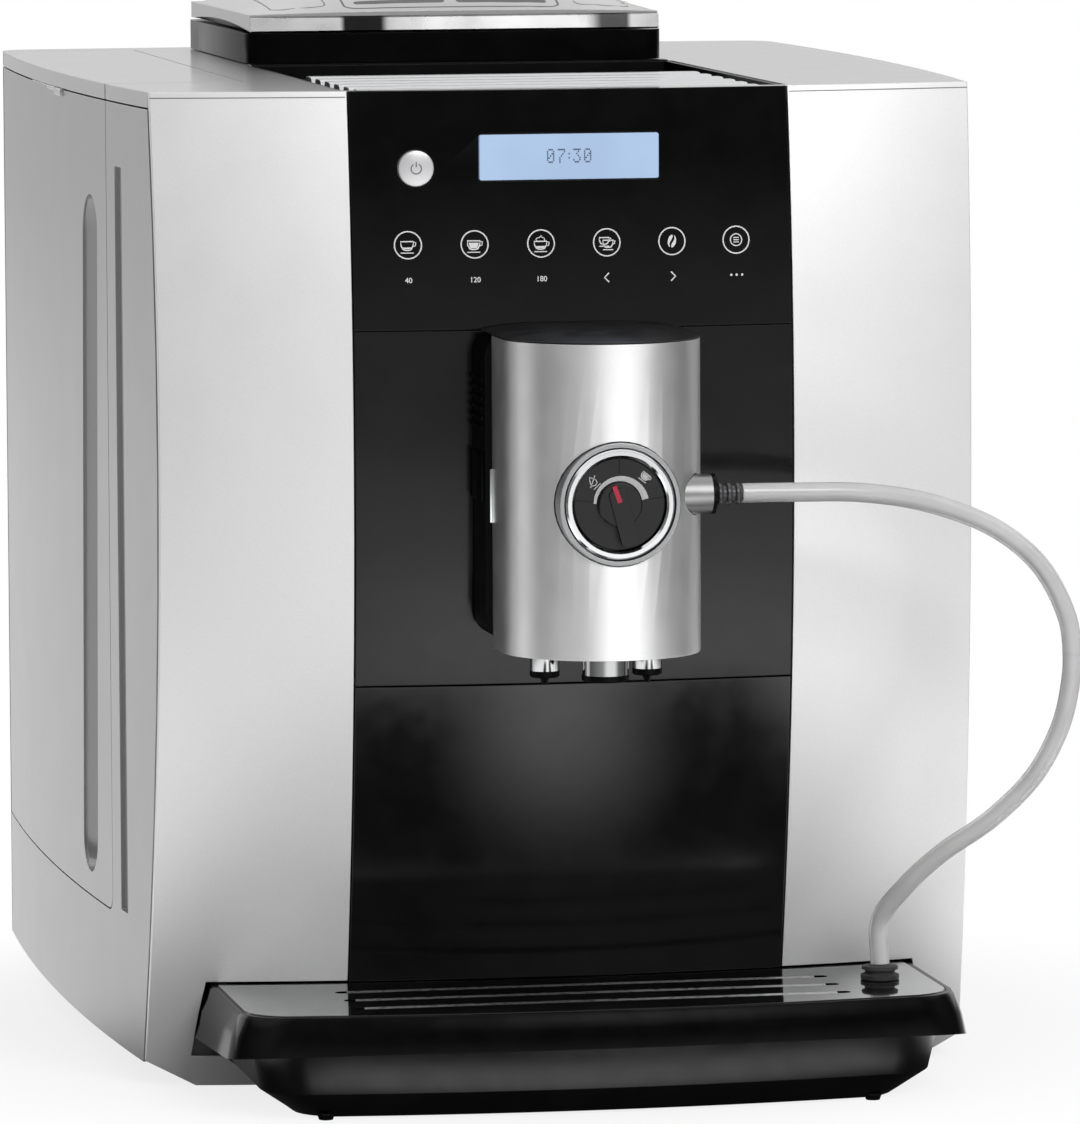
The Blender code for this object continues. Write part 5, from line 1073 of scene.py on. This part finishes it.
# Lid, back and small housing parts.
def lid_marks():
    """Painted shade in the hopper lid: dark bands for its recessed panel lines and two groups of slots."""
    mesh = bmesh.new()
    outline = rounded_outline((-39.5 * MM, 78 * MM), (39.5 * MM, 150 * MM), 4 * MM)
    band(mesh, on_lid, outline, 0.7 * MM, closed=True)
    for _, low, high in on_both_sides(46 * MM, 66 * MM):
        outline = rounded_outline((low, 82 * MM), (high, 150 * MM), 3 * MM)
        band(mesh, on_lid, outline, 0.4 * MM, closed=True)
    for _, low, high in on_both_sides(*LID_SLOT_X):
        for k in range(10):
            lid_slot(mesh, low, high, LID_SLOT_Y + k * LID_SLOT_PITCH + LID_SLOT_HALF)
    piece("lid_slots_painted_shade", mesh, STEEL_INK_AND_PAINTED_SHADE, "hopper_cover")


def lid_slot(mesh, low, high, y):
    """A slot on the lid as a dark band of painted shade, laid in short lengths so that it follows the crown."""
    half = LID_SLOT_HALF
    inner = [low + (high - low) * k / 10 for k in range(1, 10)]
    places = [low, low + half * 0.6, *inner, high - half * 0.6, high]
    widths = [half * 0.7, *[half * 2] * (len(places) - 2), half * 0.7]
    band(mesh, on_lid, [(x, y) for x in places], widths)


def rounded_outline(low, high, radius, steps=5):
    """Outline of a rectangle with round corners, with extra points along its sides."""
    left, right = low[0] + radius, high[0] - radius
    bottom, top = low[1] + radius, high[1] - radius
    points = []
    for x, y, start in ((right, bottom, -90), (right, top, 0), (left, top, 90), (left, bottom, 180)):
        points += arc(radius, start, start + 90, steps, (x, y))
    dense = []
    for k, point in enumerate(points):
        run = Vector(points[(k + 1) % len(points)]) - Vector(point)
        parts = max(1, round(run.length / (5 * MM)))
        dense += [tuple(Vector(point) + run * i / parts) for i in range(parts)]
    return dense


def screws():
    """Countersunk screws in the back cover."""
    for k, (x, z) in enumerate(SCREW_PLACES):
        place = place_on("back_cover", (x, 1.0, z), (0, -1, 0))
        mesh = bmesh.new()
        lathe(mesh, [(r * MM, h * MM) for r, h in SCREW_HEAD], place, (0, 1, 0), 24)
        piece(f"back_screw_{k + 1}", mesh, STEEL_PARTS, "housing", smooth=True)


def latch_nub():
    """Small latch nub in the seam over the tank cover, with a thin tail."""
    low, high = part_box("tank_cover")
    x, z = low[0] + 0.7 * MM, high[2]
    mesh = bmesh.new()
    for out, front, back, drop, bevel in ((1.0, 0.023, 0.04, 2.2, 0.3), (0.6, 0.04, 0.1, 1.0, 0.2)):
        corners = (x - out * MM, front, z - drop * MM), (x + 1.0 * MM, back, z + 0.4 * MM)
        rounded_box(mesh, *corners, bevel * MM)
    piece("tank_latch", mesh, SILVER_KEY, "tank", smooth=True)


def top_seams():
    """Dark lines of painted shade under the top edge of both wings, and the black strip between hopper and cup
    shelf.
    """
    mesh = bmesh.new()
    for name, low, high in on_both_sides(*SEAM_ENDS):
        node = "front_wing_" + name
        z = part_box(node)[1][2] - SEAM_DROP
        line = [(low + (high - low) * k / 12, z) for k in range(13)]
        band(mesh, on_front(node), line, SEAM_WIDTH)
    piece("wing_seams_painted_shade", mesh, SEAM_PAINTED_SHADE, "housing")
    mesh = bmesh.new()
    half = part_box("bean_hopper")[1][0]
    front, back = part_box("shelf_recess")[1][1] - 0.4 * MM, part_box("bean_hopper")[0][1] + 0.1 * MM
    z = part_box("top_cover")[1][2]
    rounded_box(mesh, (-half, front, z - 0.2 * MM), (half, back, z + 0.25 * MM), 0.15 * MM)
    piece("hopper_strip", mesh, CARRIAGE_BLACK, "housing")


def beans():
    """Coffee beans in the hopper, set on a slope towards its outlet."""
    mesh = bmesh.new()
    golden = pi * (3 - sqrt(5))
    for k in range(BEAN_COUNT):
        reach = HEAP_REACH * sqrt((k + 0.5) / BEAN_COUNT)
        x = HEAP_MIDDLE[0] + reach * cos(k * golden) * 1.05
        y = HEAP_MIDDLE[1] + reach * sin(k * golden)
        z = HEAP_MIDDLE[2] + reach * 0.12 + 0.8 * MM * sin(k * 2.1)
        turn = Matrix.Rotation(k * 1.7, 4, "Z") @ Matrix.Rotation(0.5 * sin(k * 3.3), 4, "X")
        place = Matrix.Translation((x, y, z)) @ turn @ Matrix.Diagonal(BEAN_SIZE)
        bmesh.ops.create_icosphere(mesh, subdivisions=2, radius=1.0, matrix=place)
    piece("coffee_beans", mesh, BEAN, "housing", smooth=True)


# Stage, light and camera.
def add_camera():
    camera = placed("camera", bpy.data.cameras.new("camera"))
    camera.data.lens = CAMERA_LENS
    camera.data.sensor_width = SENSOR
    camera.data.clip_end = 50.0
    look = CAMERA_LOOK.normalized()
    right = look.cross(Vector((0, 0, 1))).normalized()
    up = right.cross(look)
    turn, lean = cos(CAMERA_ROLL), sin(CAMERA_ROLL)
    right, up = turn * right + lean * up, turn * up - lean * right
    axes = Matrix((right, up, -look)).transposed().to_4x4()
    camera.matrix_world = Matrix.Translation(CAMERA_PLACE) @ axes
    bpy.context.scene.camera = camera


def softbox(name, place, size, power, later):
    """Soft area light; later is its share in light that has met more than one surface."""
    light = bpy.data.lights.new(name, "AREA")
    light.shape = "RECTANGLE"
    light.size, light.size_y = size
    light.energy = power
    light.use_nodes = True
    depth = add(light, "LightPath").outputs["Ray Depth"]
    share = spread(depth, 1.0, later, 1.0, 2.0)
    join(share, light.node_tree.nodes["Emission"].inputs["Strength"])
    made = placed(name, light)
    made.location = place
    made.rotation_euler = (LAMP_TARGET - Vector(place)).to_track_quat("-Z", "Y").to_euler()


def add_floor():
    """Pale floor: it keeps the object's shadow, turns white further out, and has its own reflections."""
    mesh = bmesh.new()
    bmesh.ops.create_grid(mesh, x_segments=1, y_segments=1, size=6.0)
    data = bpy.data.meshes.new("floor")
    mesh.to_mesh(data)
    mesh.free()
    floor = placed("floor", data)
    look = shader("floor_paper", grey(0.90), 0.9)
    vary(noise(look, 6, 2.0), grey(0.895), grey(0.905))
    place = object_place(look)
    far = fade(stretched_length(place, ORIGIN, (1.0, 1.0)), 0.80, 1.0, 0.15, 0.31)
    paths = add(look, "LightPath").outputs
    white, mirrored = add(look, "Emission"), add(look, "Emission")
    join(floor_reflection(place), mirrored.inputs["Strength"])
    share = times(far, paths["Is Camera Ray"])
    seen = mixed(share, principled(look).outputs[0], white.outputs[0])
    whole = mixed(paths["Is Glossy Ray"], seen, mirrored.outputs[0])
    join(whole, look.node_tree.nodes["Material Output"].inputs["Surface"])
    data.materials.append(look)


def mixed(share, first, second):
    node = add(share, "MixShader")
    for socket, value in zip(node.inputs, (share, first, second)):
        join(value, socket)
    return node.outputs[0]


def stretched_length(place, centre, size, turn=0.0):
    """Distance from a centre on the floor, in shares of a size along X and Y."""
    values = {"Location": (*centre, 0.0), "Rotation": (0.0, 0.0, turn), "Scale": (*size, 1.0)}
    shift = add(place, "Mapping", vector_type="TEXTURE", Vector=place, **values)
    length = add(place, "VectorMath", operation="LENGTH")
    join(shift.outputs["Vector"], length.inputs[0])
    return length.outputs["Value"]


def direction_of(x, y):
    """Angle round the object, 0 at the front and growing to the right."""
    return compute("ARCTAN2", x, times(y, -1.0))


def sides_level(angle):
    """Brightness of the mirrored surroundings in this direction."""
    stops = [((degrees + 180) / 360, level) for degrees, level in SIDES]
    return tone_ramp(angle, stops, -pi, pi)


def front_share(angle):
    return fade(apart(angle, FRONT_ANGLE), 1.0, 0.0, *FRONT_HALF)


def aisle_share(x, y, ahead):
    """1 in the dark aisle in front of the machine, 0 outside it."""
    across = compute("ADD", times(x, -AISLE_RUN[1]), times(ahead, AISLE_RUN[0]))
    aisle = fade(apart(across), 1.0, 0.0, *AISLE_HALF)
    return times(aisle, spread(y, 0.0, 1.0, *AISLE_ENDS))


def rear_share(x, y, angle):
    """1 on the floor behind the machine and to its left, 0 elsewhere."""
    left = higher(fade(apart(angle), 0.0, 1.0, *REAR_TURN), fade(x, 1.0, 0.0, *REAR_X))
    return times(fade(y, 0.0, 1.0, *REAR_Y), left)


def tray_glow(x, y):
    """Brightness of the lit strip of floor just in front of the tray."""
    glow = times(fade(y, 0.0, TRAY_GLOW_LEVEL, *TRAY_GLOW_IN), fade(y, 1.0, 0.0, *TRAY_GLOW_OUT))
    return times(glow, fade(apart(x, TRAY_GLOW_MIDDLE), 1.0, 0.0, *TRAY_GLOW_HALF))


def floor_reflection(place):
    """What gloss mirrors of the floor: the surroundings, a dark aisle in front and two soft lit patches."""
    x, y, _ = parts_of(place)
    ahead = compute("SUBTRACT", y, AISLE_START)
    angle = direction_of(x, ahead)
    reach = stretched_length(place, (0.0, AISLE_START), (1.0, 1.0))
    front = times(spread(reach, 1.85, 0.72, 0.5, 3.0), fade(reach, NEAR_GLOW, 1.0, 0.5, 1.1))
    sides = between(fade(reach, 0.0, 1.0, 0.35, 0.65), NEAR_SIDES, sides_level(angle))
    level = between(front_share(angle), sides, front)
    level = between(aisle_share(x, y, ahead), level, AISLE_LEVEL)
    behind = between(spread(y, 0.0, 1.0, 2.0, 5.0), 1.0, 0.6)
    level = between(rear_share(x, y, angle), level, behind)
    off = stretched_length(place, PATCH_PLACE, PATCH_SIZE, PATCH_TURN)
    level = higher(level, fade(off, PATCH_LEVEL, 0.0, 0.1, 1.0))
    return higher(level, tray_glow(x, y))


def world_reflection(world):
    """What gloss mirrors above the floor: the surroundings, darker in front, and a bright ceiling."""
    x, y, z = parts_of(add(world, "TexCoord").outputs["Generated"])
    angle = direction_of(x, y)
    sides = times(sides_level(angle), spread(z, 0.6, 1.0, 0.0, 0.35))
    sides = higher(sides, fade(z, 0.0, 1.0, 0.45, 0.70))
    front = higher(spread(z, 0.68, 0.04, 0.0, 0.19), fade(z, 0.0, 1.0, 0.68, 0.85))
    return between(front_share(angle), sides, front)


def add_world():
    """Even studio light: white to the camera, with its own look in gloss and metal."""
    world = bpy.data.worlds.new("studio")
    bpy.context.scene.world = world
    world.use_nodes = True
    world.node_tree.nodes.clear()
    out = add(world, "OutputWorld")
    paths = add(world, "LightPath").outputs
    mirrored = background(world, world_reflection(world))
    lit = mixed(paths["Is Glossy Ray"], background(world, 0.36), mirrored)
    direct = higher(paths["Is Camera Ray"], paths["Is Transmission Ray"])
    join(mixed(direct, lit, background(world, 1.0)), out.inputs["Surface"])


def background(world, strength):
    return add(world, "Background", Color=(1.0, 1.0, 1.0, 1.0), Strength=strength).outputs[0]


def main():
    add_camera()
    make_hose()
    dress_nodes()
    panel_print()
    panel_numerals()
    display_digits()
    power_icon()
    dial_marks()
    nozzle_tips()
    carriage_details()
    carriage_foot()
    boss_ring()
    slot_lips()
    tray_bay()
    lid_marks()
    screws()
    latch_nub()
    top_seams()
    beans()
    add_floor()
    add_world()
    for lamp in LAMPS:
        softbox(*lamp)
    bpy.context.scene.view_settings.view_transform = "Standard"


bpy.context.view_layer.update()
main()
